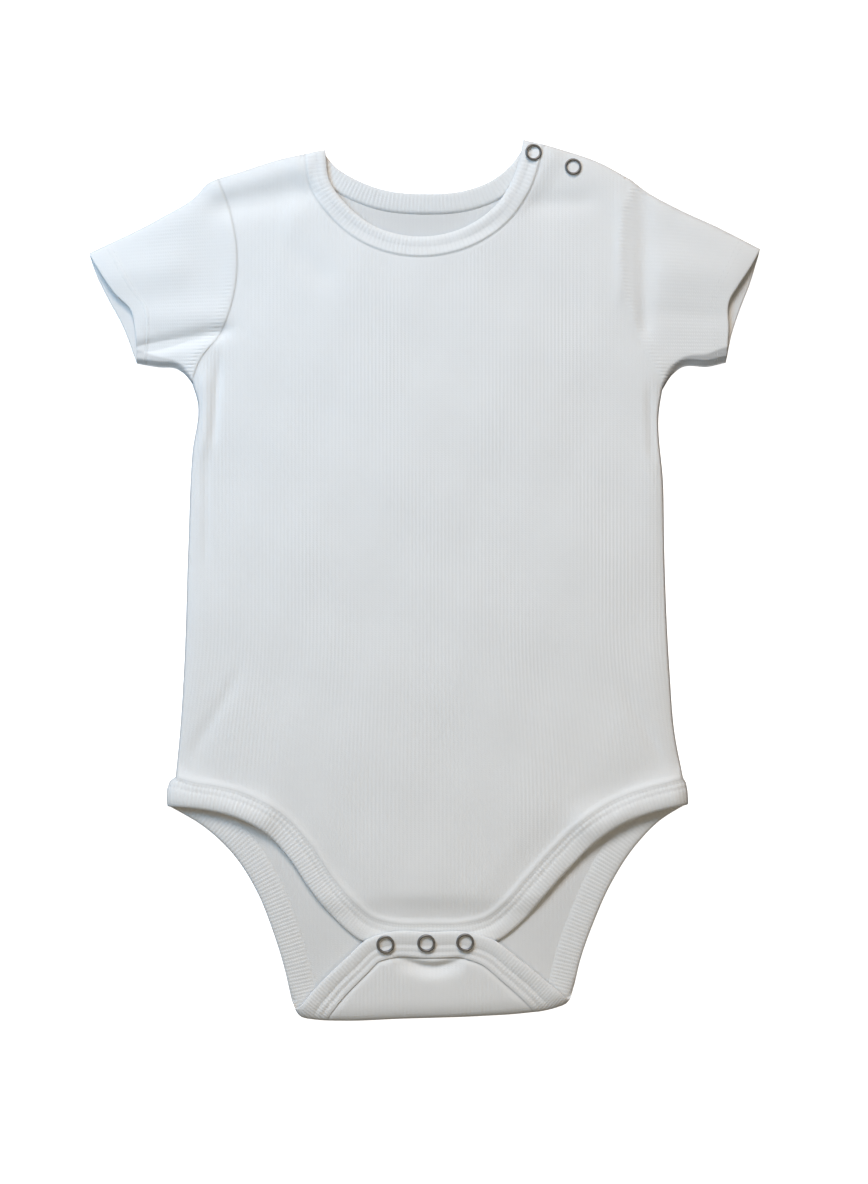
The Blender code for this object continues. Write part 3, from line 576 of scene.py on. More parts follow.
def distance_to(line, xy):
    """The distance from each point to the nearest part of a line."""
    start, run = line[:-1], np.diff(line, axis=0)
    square = np.maximum((run * run).sum(1), 1e-9)
    found = []
    for part in np.array_split(xy, len(xy) // BATCH + 1):
        off = part[:, None] - start
        share = np.clip((off * run).sum(2) / square, 0, 1)
        off -= share[..., None] * run
        found.append(np.sqrt((off * off).sum(2).min(axis=1)))
    return np.concatenate(found)


def nearest(lines, xy):
    """The distance from each point to the nearest of several lines."""
    return np.min([distance_to(line, xy) for line in lines], axis=0)


def soft_step(t):
    """A smooth step from 0 at 0 to 1 at 1."""
    t = np.clip(t, 0, 1)
    return t * t * (3 - 2 * t)


def step_from(start, width, value):
    """A smooth step from 0 at the start to 1 where its width ends."""
    return soft_step((value - start) / width)


def dent(distance, width):
    """1 on a line, falling off smoothly over the width to each side."""
    return np.exp(-((distance / width) ** 2))


def area_of(loop):
    """The area inside a loop, in square millimetres."""
    x, y = loop.T
    return abs(x @ np.roll(y, -1) - y @ np.roll(x, -1)) / 2


# Heights


CLOSED_EDGES = [
    curve(line)
    for line in (
        SHOULDER_LEFT,
        SLEEVE_TOP_LEFT,
        SLEEVE_UNDER_LEFT,
        SIDE_LEFT,
        HIP_END_LEFT,
        SHOULDER_RIGHT,
        SLEEVE_TOP_RIGHT,
        SLEEVE_UNDER_RIGHT,
        SIDE_RIGHT,
        HIP_END_RIGHT,
    )
]
LOWER_BINDINGS = [
    offset(curve(NECK_EDGE_BACK), -NECK_BINDING_WIDTH / 2),
    offset(curve(LEG_EDGE_BACK_LEFT), LEG_BINDING_WIDTH / 2),
    offset(curve(LEG_EDGE_BACK_RIGHT), LEG_BINDING_WIDTH / 2),
]
ARMHOLES = [curve(ARMHOLE_LEFT), curve(ARMHOLE_RIGHT)]
NECK_SEAM = curve(NECK_SEAM_FRONT, 1.0)


def swept(edge, distance, width, ends):
    """The line at a distance to the left of an edge, led to the lines that the edge ends on."""
    half = EVENED // 2
    padded = np.pad(unit(np.gradient(edge, axis=0)), ((half, half), (0, 0)), mode="edge")
    kernel = np.ones(EVENED) / EVENED
    evened = np.stack([np.convolve(padded[:, k], kernel, mode="valid") for k in (0, 1)], axis=1)
    line = edge + distance * left_of(evened)
    run = run_of(edge)
    for end, first, past in ((ends[0], 0, run), (ends[1], -1, run[-1] - run)):
        if end is not None:
            aim = along(curve(end, 0.5), [distance / width])[0]
            line = line + soft_step(1 - past / SWEEP_REACH)[:, None] * (aim - line[first])
    return line


HIP_ENDS = (HIP_END_LEFT, HIP_END_RIGHT)
NO_ENDS = (None, None)
LEG_SEAM_FRONT = swept(curve(LEG_EDGE_FRONT, 1.0), LEG_BINDING_WIDTH, LEG_BINDING_WIDTH, HIP_ENDS)


def relief(xy, narrowest=0.0):
    """The folds of the upper layer, as heights."""
    total = np.zeros(len(xy))
    for x0, y0, x1, y1, width, height in FOLDS:
        if width < narrowest:
            continue
        start = np.array((x0, y0))
        run = np.array((x1, y1)) - start
        span = np.linalg.norm(run)
        run /= span
        on = (xy - start) @ run
        across = (xy - start) @ np.array((-run[1], run[0]))
        past = np.maximum(np.maximum(-on, on - span), 0)
        total += height * np.exp(-((across / width) ** 2) - (past / FOLD_FADE) ** 2)
    return total


def waves(xy):
    """The long soft waves, as heights."""
    total = np.zeros(len(xy))
    for span, turn, phase, height in WAVES:
        total += height * np.sin(xy @ (math.cos(turn), math.sin(turn)) * 2 * math.pi / span + phase)
    return total


def roll(reach):
    """The rise of cloth that rolls up from a closed edge, from 0 at the edge to 1."""
    t = np.clip(reach, 0, 1)
    return np.sqrt(1 - (1 - t) ** 2)


def slope_share(xy):
    """The share of its height that the upper layer keeps as it falls to a sleeve's lower edge."""
    under = [curve(SLEEVE_UNDER_LEFT), curve(SLEEVE_UNDER_RIGHT)]
    left, right = (distance_to(line, xy) for line in under)
    start_left, start_right = SLOPE_STARTS
    fall = np.clip(1 - left / SLOPE_LEFT, 0, 1) * soft_step((start_left - xy[:, 0]) / SLOPE_GROWS)
    fall += np.clip(1 - right / SLOPE_RIGHT, 0, 1) * soft_step((xy[:, 0] - start_right) / SLOPE_GROWS)
    return 1 - SLOPE_FALL * fall


def upper_faces(xy, rim_top=RIM_TOP, rim_under=RIM_UNDER):
    """Heights of the inner and outer faces of the upper layer, without its ribs."""
    edge = nearest(CLOSED_EDGES, xy)
    lower = nearest(LOWER_BINDINGS, xy)
    ride = (BINDING - CLOTH) * (1 - soft_step((lower - RIDE_REACH) / RIDE_FADE))
    flat = soft_step((xy[:, 1] - CROTCH_FLAT[1]) / (CROTCH_FLAT[0] - CROTCH_FLAT[1]))
    inner_roll = roll((edge - CLOTH) / (ROLL - CLOTH))
    inner = LAY + ride + flat * inner_roll * (LOFT_BELOW + np.maximum(relief(xy, NARROW_FOLD), 0))
    outer = LAY + CLOTH + ride + flat * roll(edge / ROLL) * (LOFT + relief(xy) + waves(xy))
    slope = slope_share(xy)
    outer = rim_top + (outer - rim_top) * (1 - np.clip(1 - edge / RIM_ROLL, 0, 1) ** 2) * slope
    inner = LAY + (inner - LAY) * slope
    inner = rim_under + (inner - rim_under) * roll((edge - UNDER_START) / UNDER_ROLL)
    return inner, np.maximum(outer, inner + THINNEST)


def stretch(y):
    """How much wider the body's ribs lie at this height."""
    return 1 + HIP_STRETCH * soft_step((STRETCH_START - y) / STRETCH_RUN)


def rib_place(xy):
    """The place of a point of the body across the ribs, as if they weren't stretched."""
    return (xy[:, 0] - BODY_AXIS) / stretch(xy[:, 1])


# The fold of the tail


FOLD_LINE = curve(FOLD_EDGE)
CREASE_LINE = curve(TAIL_CREASE)


def fold_y(x):
    """The y of the fold's edge, with its corners rounded."""
    past = np.maximum(FOLD_ENDS[0] - x, x - FOLD_ENDS[1])
    past = np.clip(past / FOLD_CORNER + 1, 0, 1)
    return np.interp(x, FOLD_LINE[:, 0], FOLD_LINE[:, 1]) + FOLD_CORNER * (1 - np.sqrt(1 - past * past))


def tail_face(xy):
    """Height of the tail's outer face, without its ribs."""
    past = xy[:, 1] - fold_y(xy[:, 0]) - FOLD_RADIUS
    above = xy[:, 1] > np.interp(xy[:, 0], CREASE_LINE[:, 0], CREASE_LINE[:, 1])
    width = np.where(above, TAIL_CREASE_ABOVE, TAIL_CREASE_BELOW)
    crease = dent(distance_to(CREASE_LINE, xy), width)
    rise = TAIL_RISE * soft_step(past / TAIL_RISE_LENGTH)
    shown = np.clip(1 - ((xy[:, 0] - TAIL_CREASE_MIDDLE) / TAIL_CREASE_REACH) ** 2, 0, 1)
    return 2 * FOLD_RADIUS + rise - TAIL_CREASE_DEPTH * crease * shown


def nose_drop(past):
    """How far the tail's face lies below a round fold, at a distance from the fold's edge."""
    past = np.maximum(past, 0)
    round_face = FOLD_RADIUS + np.sqrt(FOLD_RADIUS**2 - np.clip(FOLD_RADIUS - past, 0, None) ** 2)
    share = 1 - np.clip(1 - past / NOSE_REACH, 0, 1) ** 2
    return round_face - NOSE_Z - (2 * FOLD_RADIUS - NOSE_Z) * np.sqrt(share)


def unrolled(xy, tail):
    """Where a point of the lying cloth is on the back as it was cut, flat and unfolded."""
    fold = fold_y(xy[:, 0])
    y = 2 * fold - xy[:, 1] - BEND_TAKE_UP if tail else xy[:, 1] + BEND_TAKE_UP
    return np.stack([xy[:, 0], y], axis=1)


def folded(flat, depth):
    """A point of the cut back as it lies. The depth is measured in from the outer face."""
    x = flat[:, 0]
    fold = fold_y(x)
    past = flat[:, 1] - fold
    turn = np.clip(past / BEND_LENGTH, -1, 1) * math.pi / 2
    radius = FOLD_RADIUS - depth
    y = fold + FOLD_RADIUS - radius * np.cos(turn)
    z = FOLD_RADIUS - radius * np.sin(turn)
    z = z - np.where(past > 0, (FOLD_RADIUS - NOSE_Z) * (1 - np.sin(turn)), 0)
    y = y + np.maximum(np.abs(past) - BEND_LENGTH, 0)
    on_tail = past < -BEND_LENGTH
    if on_tail.any():
        lying = np.stack([x, y], axis=1)[on_tail]
        z[on_tail] = tail_face(lying) - depth[on_tail]
    face = FOLD_RADIUS * (1 - np.cos(turn)) + np.maximum(-past - BEND_LENGTH, 0)
    z = z - np.where(past <= 0, nose_drop(face), 0)
    return np.stack([x, y, z], axis=1)


def tail_share(flat):
    """0 where the back lies on the ground, 1 on the tail."""
    return soft_step(0.5 - (flat[:, 1] - fold_y(flat[:, 0])) / (2 * BEND_LENGTH))


# Materials

MIX_FACTOR, MIX_FIRST, MIX_SECOND, MIX_RESULT = 0, 6, 7, 2  # sockets of a Mix node for colours
BLACK = (0.0, 0.0, 0.0)
FUZZ_SCALE = 2600.0
CLOUD_SCALE = 55.0
CLOUD_SHADE = 0.03  # how much the white differs at random
LOOP_SHADE = 0.004  # painted shade: how much darker the cloth is painted between two loops


def new_node(tree, kind, settings, values):
    """A node, with its settings made first and then the values or links of its sockets."""
    made = tree.nodes.new(kind)
    for setting, value in (settings or {}).items():
        setattr(made, setting, value)
    for socket, value in (values or {}).items():
        if isinstance(value, bpy.types.NodeSocket):
            tree.links.new(value, made.inputs[socket])
        else:
            made.inputs[socket].default_value = value
    return made


class Wire:
    """An output of a shader's node, on which sums can be written."""

    def __init__(self, finish, socket):
        self.finish = finish
        self.socket = socket

    def maths(self, operation, *values):
        return self.finish.node("ShaderNodeMath", {"operation": operation}, dict(enumerate(values)))

    def __add__(self, other):
        return self.maths("ADD", self, other)

    def __radd__(self, other):
        return self.maths("ADD", other, self)

    def __sub__(self, other):
        return self.maths("SUBTRACT", self, other)

    def __rsub__(self, other):
        return self.maths("SUBTRACT", other, self)

    def __mul__(self, other):
        return self.maths("MULTIPLY", self, other)

    def __rmul__(self, other):
        return self.maths("MULTIPLY", other, self)

    def __pow__(self, other):
        return self.maths("POWER", self, other)

    def __abs__(self):
        return self.maths("ABSOLUTE", self)

    def fraction(self):
        return self.maths("FRACT", self)


class Finish:
    """A material, with its shader and its nodes."""

    def __init__(self, name, constants):
        self.material = bpy.data.materials.new(name)
        self.material.use_nodes = True
        self.tree = self.material.node_tree
        self.shader = self.tree.nodes["Principled BSDF"]
        for socket, value in constants.items():
            self.shader.inputs[socket].default_value = value

    def node(self, kind, settings=None, values=None, output=0):
        values = {k: v.socket if isinstance(v, Wire) else v for k, v in (values or {}).items()}
        return Wire(self, new_node(self.tree, kind, settings, values).outputs[output])

    def coordinates(self, output):
        return self.node("ShaderNodeTexCoord", output=output)

    def noise(self, scale, detail=2.0):
        values = {"Vector": self.coordinates("Object"), "Scale": scale, "Detail": detail}
        return self.node("ShaderNodeTexNoise", values=values)

    def mix(self, factor, first, second):
        """A colour between two others."""
        values = {MIX_FACTOR: factor, MIX_FIRST: (*first, 1.0), MIX_SECOND: (*second, 1.0)}
        return self.node("ShaderNodeMix", {"data_type": "RGBA"}, values, MIX_RESULT)

    def bump(self, height, strength, distance):
        values = {"Height": height, "Strength": strength, "Distance": distance}
        return self.node("ShaderNodeBump", values=values)

    def feed(self, wires):
        for socket, wire in wires.items():
            self.tree.links.new(wire.socket, self.shader.inputs[socket])
        return self.material


def shaded(rgb, share):
    """The colour, darker or lighter by a share."""
    return tuple(channel * share for channel in rgb)


def knit_finish(name, rgb, loops, painted_groove_shade):
    """Rib knit: columns of loops on each rib, painted shade in the grooves, and the fuzz of cotton.

    The loops are how high they stand, and the groove shade is how dark the grooves between ribs are
    painted.
    """
    constants = {"Sheen Weight": 0.12, "Sheen Roughness": 0.6, "Specular IOR Level": 0.2}
    cloth = Finish(name, constants)
    place = cloth.coordinates("UV")
    rib = cloth.node("ShaderNodeSeparateXYZ", values={"Vector": place}, output=0)
    row = cloth.node("ShaderNodeSeparateXYZ", values={"Vector": place}, output=1)
    groove = abs(rib.fraction() * 2.0 - 1.0)
    slant = (row + groove * 0.5).fraction()
    loop = 1.0 - abs(slant * 2.0 - 1.0) ** 2.0
    fuzz = cloth.noise(FUZZ_SCALE, 3.0)
    cloud = cloth.noise(CLOUD_SCALE)
    given = cloth.node("ShaderNodeAttribute", {"attribute_name": "shade"}, output=2)
    height = loop * loops + fuzz * 0.5
    # the loop part is painted shade between the loops; the cloud part is the white's own random tone
    loop_shade_and_cloud = (1.0 - loop) * LOOP_SHADE + (cloud - 0.5) * CLOUD_SHADE
    # painted shade: the grooves, the gaps between loops and the mesh's shade attribute darken the
    # colour towards black
    tone = cloth.mix(groove**4.0 * painted_groove_shade + loop_shade_and_cloud + given, rgb, BLACK)
    normal = cloth.bump(height, 0.35, 0.00025)
    return cloth.feed({"Base Color": tone, "Roughness": 0.86 + fuzz * 0.1, "Normal": normal})


def thread_finish(name, rgb):
    """Sewing thread, twisted from fine strands."""
    thread = Finish(name, {"Roughness": 0.7, "Sheen Weight": 0.1})
    strand = thread.noise(4200.0)
    tone = thread.mix(strand, rgb, shaded(rgb, 0.8))
    return thread.feed({"Base Color": tone, "Normal": thread.bump(strand, 0.4, 0.0001)})


def steel_finish(name, rgb):
    """Darkened steel, a little worn where it is touched."""
    steel = Finish(name, {"Metallic": 0.7})
    wear = steel.noise(900.0, 4.0)
    patch = steel.noise(180.0)
    tone = steel.mix(wear * 0.6, rgb, shaded(rgb, 1.5))
    normal = steel.bump(wear, 0.08, 0.00005)
    return steel.feed({"Base Color": tone, "Roughness": 0.3 + patch * 0.2, "Normal": normal})


def floor_finish(name, rgb):
    """A pale matt floor."""
    constants = {"Roughness": 0.95, "Specular IOR Level": 0.1, "Emission Strength": 1.0}
    floor = Finish(name, {**constants, "Emission Color": (1.0, 1.0, 1.0, 1.0)})
    mottle = floor.noise(3.0)
    tone = floor.mix(mottle * 0.3, rgb, shaded(rgb, 0.985))
    return floor.feed({"Base Color": tone})


MAKERS = {
    # name: what makes it, its colour, what else it needs
    # for the knits, what else it needs is the loops' height and the grooves' painted shade
    "rib_knit": (knit_finish, "knit", 0.3, 0.014),
    "binding_knit": (knit_finish, "binding", 0.4, 0.045),
    "sewing_thread": (thread_finish, "thread"),
    "snap_steel": (steel_finish, "steel"),
    "pale_floor": (floor_finish, "floor"),
}


def finish_of(context, name):
    """The material of that name, made when it is first asked for."""
    label = f"{name}_look"  # model.glb brings a plain material for each slot, named like the slot
    make, tint, *values = MAKERS[name]
    made = bpy.data.materials.get(label)
    return made or make(label, getattr(context.scene.bodysuit_colours, tint), *values)


# Trees of Geometry Nodes

LENGTH = "NodeSocketFloat"
MATERIAL = "NodeSocketMaterial"
RIB_MIDDLE = 0.45  # share of a rib's rise that lies above the plain surface
RIB_SHOULDER = 2.5  # the higher, the flatter its crest
SHORTEST, LONGEST = 2, 3  # sockets of a Random Value node for numbers
STITCH_LEAST, STITCH_MOST = 0.85, 1.1  # sizes of the stitches, to the stated one
STITCH_SEED = 7


class Tree:
    """A tree of Geometry Nodes, with its named inputs."""

    def __init__(self, name, inputs):
        self.tree = bpy.data.node_groups.new(name, "GeometryNodeTree")
        self.sockets = {}
        face = self.tree.interface
        face.new_socket(name="Geometry", in_out="INPUT", socket_type="NodeSocketGeometry")
        for label, kind in inputs.items():
            socket = face.new_socket(name=label, in_out="INPUT", socket_type=kind)
            self.sockets[label] = socket.identifier
        face.new_socket(name="Geometry", in_out="OUTPUT", socket_type="NodeSocketGeometry")
        self.start = self.tree.nodes.new("NodeGroupInput")
        self.end = self.tree.nodes.new("NodeGroupOutput")

    def given(self, label):
        return self.start.outputs[label]

    def node(self, kind, settings=None, values=None, output=0):
        return new_node(self.tree, kind, settings, values).outputs[output]

    def maths(self, operation, *values):
        return self.node("ShaderNodeMath", {"operation": operation}, dict(enumerate(values)))

    def close(self, shape):
        """Ends the tree: real geometry in one material."""
        smooth = self.node("GeometryNodeSetShadeSmooth", values={"Geometry": shape})
        real = self.node("GeometryNodeRealizeInstances", values={"Geometry": smooth})
        values = {"Geometry": real, "Material": self.given("Material")}
        self.tree.links.new(self.node("GeometryNodeSetMaterial", values=values), self.end.inputs[0])

    def apply(self, made, values):
        """Turns the object into the plain mesh that the tree makes of it."""
        modifier = made.modifiers.new("shape", "NODES")
        modifier.node_group = self.tree
        for label, value in values.items():
            modifier[self.sockets[label]] = value
        ready = bpy.context.evaluated_depsgraph_get()
        mesh = bpy.data.meshes.new_from_object(
            made.evaluated_get(ready), preserve_all_data_layers=True, depsgraph=ready
        )
        made.modifiers.remove(modifier)
        old, made.data = made.data, mesh
        bpy.data.meshes.remove(old)
        mesh.name = made.name


def rib_tree():
    """Raises ribs on a surface, from each point's place across them and their share there."""
    tree = Tree("Rib relief", {"Rib Pitch": LENGTH, "Rib Rise": LENGTH, "Material": MATERIAL})
    named = {"data_type": "FLOAT"}
    across = tree.node("GeometryNodeInputNamedAttribute", named, {"Name": "rib_across"})
    share = tree.node("GeometryNodeInputNamedAttribute", named, {"Name": "rib_share"})
    phase = tree.maths("FRACT", tree.maths("DIVIDE", across, tree.given("Rib Pitch")))
    side = tree.maths("ABSOLUTE", tree.maths("SUBTRACT", tree.maths("MULTIPLY", phase, 2.0), 1.0))
    profile = tree.maths("SUBTRACT", RIB_MIDDLE, tree.maths("POWER", side, RIB_SHOULDER))
    height = tree.maths("MULTIPLY", tree.maths("MULTIPLY", profile, share), tree.given("Rib Rise"))
    normal = tree.node("GeometryNodeInputNormal")
    push = tree.node("ShaderNodeVectorMath", {"operation": "SCALE"}, {0: normal, "Scale": height})
    values = {"Geometry": tree.given("Geometry"), "Offset": push}
    tree.close(tree.node("GeometryNodeSetPosition", values=values))
    return tree


def stitch_tree():
    """Lays stitches of thread along lines."""
    inputs = {"Stitch": LENGTH, "Gap": LENGTH, "Thread": LENGTH, "Seed": "NodeSocketInt"}
    tree = Tree("Stitch row", {**inputs, "Material": MATERIAL})
    line = tree.node("GeometryNodeMeshToCurve", values={"Mesh": tree.given("Geometry")})
    step = tree.maths("ADD", tree.given("Stitch"), tree.given("Gap"))
    line = tree.node("GeometryNodeResampleCurve", {"mode": "LENGTH"}, {"Curve": line, "Length": step})
    ball = tree.node("GeometryNodeMeshUVSphere", values={"Segments": 6, "Rings": 5, "Radius": 0.5})
    scale = {"X": tree.given("Stitch"), "Y": tree.given("Thread"), "Z": tree.given("Thread")}
    size = tree.node("ShaderNodeCombineXYZ", values=scale)
    ball = tree.node("GeometryNodeTransform", values={"Geometry": ball, "Scale": size})
    tangent = tree.node("GeometryNodeInputTangent")
    turn = tree.node("FunctionNodeAlignRotationToVector", {"axis": "X"}, {"Vector": tangent})
    values = {SHORTEST: STITCH_LEAST, LONGEST: STITCH_MOST, "Seed": tree.given("Seed")}
    vary = tree.node("FunctionNodeRandomValue", {"data_type": "FLOAT"}, values, output=1)
    values = {"Points": line, "Instance": ball, "Rotation": turn, "Scale": vary}
    tree.close(tree.node("GeometryNodeInstanceOnPoints", values=values))
    return tree


# Meshes


def new_object(name, data):
    """An object of the scene."""
    made = bpy.data.objects.new(name, data)
    bpy.context.scene.collection.objects.link(made)
    return made


def cloth_object(name, points, faces, across, share, rows, sizes, tint=0.0, band=False):
    """A mesh from points in millimetres, with what its ribs and its finish need to know."""
    data = bpy.data.meshes.new(name)
    data.from_pydata(np.asarray(points) * MM, [], faces)
    pitch = sizes.band_pitch if band else sizes.rib_pitch
    across = np.asarray(across) * MM
    # the shade attribute is painted shade, by which the knit's material darkens its colour
    shade = np.broadcast_to(tint, len(points))
    for label, values in (("rib_across", across), ("rib_share", share), ("shade", shade)):
        values = np.array(values, np.float32)
        data.attributes.new(label, "FLOAT", "POINT").data.foreach_set("value", values)
    place = np.stack([across / pitch, np.asarray(rows) * MM / sizes.course], axis=1)
    corners = np.empty(len(data.loops), np.int32)
    data.loops.foreach_get("vertex_index", corners)
    layer = data.uv_layers.new(name="knit")
    layer.data.foreach_set("uv", place[corners].astype(np.float32).ravel())
    mesh = bmesh.new()
    mesh.from_mesh(data)
    bmesh.ops.recalc_face_normals(mesh, faces=mesh.faces)
    mesh.to_mesh(data)
    mesh.free()
    data.shade_smooth()
    return new_object(name, data)


def fill(loop, lines=(), points=()):
    """Triangles inside a loop, cut along the lines and through the points."""
    corners = [Vector(p) for p in loop]
    edges = []
    for line in lines:
        first = len(corners)
        corners += [Vector(p) for p in line]
        edges += [(k, k + 1) for k in range(first, len(corners) - 1)]
    corners += [Vector(p) for p in points]
    made = geometry.delaunay_2d_cdt(corners, edges, [list(range(len(loop)))], 1, MERGED)
    places = np.array([tuple(p) for p in made[0]])
    triangles = [tri for tri, source in zip(made[2], made[5]) if source]
    return places, triangles, made[3]


def rim_of(triangles):
    """The outer edge of a filled loop, as vertex numbers in order."""
    after = set()
    for tri in triangles:
        after.update(zip(tri, (*tri[1:], tri[0])))
    ahead = {a: b for a, b in after if (b, a) not in after}
    start = next(iter(ahead))
    rim = [start]
    while ahead[rim[-1]] != start:
        rim.append(ahead[rim[-1]])
    return rim


def inside(loop, points, margin):
    """Which points lie inside a loop, more than the margin from it."""
    a, b = loop, np.roll(loop, -1, axis=0)
    rise = np.where(b[:, 1] == a[:, 1], 1e-9, b[:, 1] - a[:, 1])
    found = []
    for part in np.array_split(points, len(points) // BATCH + 1):
        x, y = part[:, :1], part[:, 1:]
        crosses = (a[:, 1] > y) != (b[:, 1] > y)
        left = x < a[:, 0] + (y - a[:, 1]) / rise * (b[:, 0] - a[:, 0])
        found.append((crosses & left).sum(axis=1) % 2 == 1)
    return np.concatenate(found) & (distance_to(np.concatenate([loop, loop[:1]]), points) > margin)


def plain_points(loop, spacing, margin):
    """An even grid of points inside a loop."""
    low, high = loop.min(axis=0), loop.max(axis=0)
    x = np.arange(low[0] + spacing / 2, high[0], spacing)
    y = np.arange(low[1] + spacing / 2, high[1], spacing)
    grid = np.array([(a, b) for a in x for b in y])
    return grid[inside(loop, grid, margin)]


def wall(loop, lines, plain, outer, inner):
    """A closed wall: an outer face cut along the lines and an inner one, on the same rim.

    Returns its flat places, its points, its faces and how many points the outer face has.
    """
    places, triangles, _ = fill(loop, lines)
    rim = rim_of(triangles)
    if plain is None:
        under, under_triangles = places, triangles
        below = {i: i for i in rim}
    else:
        under, under_triangles, sources = fill(places[rim], points=plain)
        below = {}
        for i, found in enumerate(sources):
            below.update({rim[source]: i for source in found if source < len(rim)})
    top_used = sorted({i for tri in triangles for i in tri})
    under_used = sorted({i for tri in under_triangles for i in tri})
    top = {v: k for k, v in enumerate(top_used)}
    bottom = {v: k + len(top_used) for k, v in enumerate(under_used)}
    faces = [[top[i] for i in tri] for tri in triangles]
    faces += [[bottom[i] for i in reversed(tri)] for tri in under_triangles]
    for a, b in zip(rim, (*rim[1:], rim[0])):
        faces.append([top[b], top[a], bottom[below[a]], bottom[below[b]]])
    flat = np.concatenate([places[top_used], under[under_used]])
    points = np.concatenate([outer(places[top_used]), inner(under[under_used])])
    return flat, points, faces, len(top_used)


def rib_columns(low, high, rows, pitch):
    """Lines down the body, several for each rib, with a point at each of the rows."""
    step = pitch / RIB_CUTS
    rows = np.asarray(rows, float)
    marks = step * np.arange(math.ceil(low / step), math.floor(high / step) + 1)
    return [np.stack([BODY_AXIS + mark * stretch(rows), rows], axis=1) for mark in marks]


def join_chains(first, second, first_keys, second_keys):
    """Triangles between two open chains of vertices, each in the order of its keys."""
    faces = []
    i = j = 0
    while i < len(first) - 1 or j < len(second) - 1:
        if j == len(second) - 1:
            step_first = True
        elif i == len(first) - 1:
            step_first = False
        else:
            step_first = first_keys[i + 1] <= second_keys[j + 1]
        if step_first:
            faces.append([first[i], first[i + 1], second[j]])
            i += 1
        else:
            faces.append([first[i], second[j + 1], second[j]])
            j += 1
    return faces


def sheet_of(width, span, area=None):
    """Works out a sheet's flat size in metres, from millimetres, and keeps nothing."""
    area = None if area is None else area * MM * MM
    width * MM
    span * MM


def settle(made, slot, *nodes):
    """Puts a finished piece on the body, in place of its solids."""
    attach(made, "root")
    if nodes:
        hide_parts(*nodes)


def raise_ribs(context, made, finish, band=False):
    """Gives a piece its ribs and its finish."""
    sizes = context.scene.bodysuit_sizes
    values = {
        "Rib Pitch": sizes.band_pitch if band else sizes.rib_pitch,
        "Rib Rise": sizes.band_rise if band else sizes.rib_rise,
        "Material": finish_of(context, finish),
    }
    rib_tree().apply(made, values)
    made.data.set_sharp_from_angle(angle=SHARP)


# Front

PATCHINESS = 0.45  # how unevenly the ribs show
RIBS_FROM_EDGE = 1.5  # width over which the ribs rise from a closed edge
RIBS_FROM_LEG = (1.0, 3.0)  # from a seam to where they start, and that width
RIBS_FROM_SEAM = (0.6, 1.6)
HIPS_Y = -95.0  # below this and above the chest the points are closer
CHEST_Y = 60.0
HIPS_STEP, BELLY_STEP, CHEST_STEP = 2.2, 5.0, 2.4
EDGE_LINES = (0.2, 0.6, 1.3, 2.4, 4.5)  # distances of the lines of points beside an edge
SEAM_LINES = (0.2, 0.5, 0.85, 1.25, 1.7, 2.3, 3.2, 4.4)
KEEPS_OFF = 0.98  # share of its distance that such a line keeps from the whole outline
PLAIN_STEP = 6.0  # between the points of the plain inner side
PLAIN_MARGIN = 1.5


def leg_strip(distance):
    """The seam allowance that shows through beyond a leg binding, and the dip beside it."""
    strip = STRIP_RISE * (1 - step_from(*STRIP_FALL, distance))
    dip = step_from(*DIP_START, distance) * (1 - step_from(*DIP_END, distance))
    return strip - DIP_DEPTH * dip


def front_outer(xy):
    """Height of the front's outer face, without its ribs."""
    inner, outer = upper_faces(xy)
    leg = distance_to(LEG_SEAM_FRONT, xy)
    edge = nearest(CLOSED_EDGES, xy)
    sewn = leg_strip(leg) - NECK_GROOVE * dent(distance_to(NECK_SEAM, xy), NECK_GROOVE_WIDTH)
    return np.maximum(outer + sewn * soft_step(edge / SEWN_FADE), inner + SEWN_THINNEST)


def seam_painted_shade(xy):
    """Painted shade in the seams of the neck and the left sleeve: how much darker the cloth is painted
    there.
    """
    neck = NECK_SEAM_PAINTED_SHADE * dent(distance_to(NECK_SEAM, xy), SEAM_PAINTED_SHADE_WIDTH)
    return neck + ARM_SEAM_PAINTED_SHADE * dent(distance_to(ARMHOLES[0], xy), SEAM_PAINTED_SHADE_WIDTH)


def patches(xy):
    """How clearly the ribs show: the cloth is more open in some places than in others."""
    x, y = xy.T  # the numbers below are wave lengths over 2 pi, and phases
    slow = np.sin(x / 13 + np.sin(y / 37)) * np.sin(y / 29 + 1.3)
    quick = np.sin(x / 7.3 + y / 51 + 2.0) * 0.6
    return 1 + PATCHINESS * (slow + quick)


def front_outline():
    """The front, on its seams."""
    shoulder_right = curve(SHOULDER_RIGHT)
    shoulder_right = shoulder_right[shoulder_right[:, 0] > NECK_SEAM_FRONT[-1][0]]
    return loop_of(
        curve(SIDE_LEFT),
        LEG_SEAM_FRONT,
        curve(SIDE_RIGHT)[::-1],
        curve(ARMHOLE_RIGHT)[::-1],
        shoulder_right[::-1],
        NECK_SEAM[::-1],
        curve(SHOULDER_LEFT[1:]),
        curve(ARMHOLE_LEFT),
    )


def near_lines(loop, reaches, keep):
    """Lines inside a loop at several distances from those of its points that are kept."""
    lines = []
    chosen = keep(loop)
    turn = int(np.argmin(chosen))
    order = np.roll(np.arange(len(loop)), -turn)
    for reach in reaches:
        moved = drawn_in(loop, reach)
        good = chosen & (distance_to(np.concatenate([loop, loop[:1]]), moved) > reach * KEEPS_OFF)
        part = []
        for i in order:
            if good[i]:
                part.append(moved[i])
            elif part:
                lines.append(part)
                part = []
        if part:
            lines.append(part)
    return [line for line in lines if len(line) > 1]


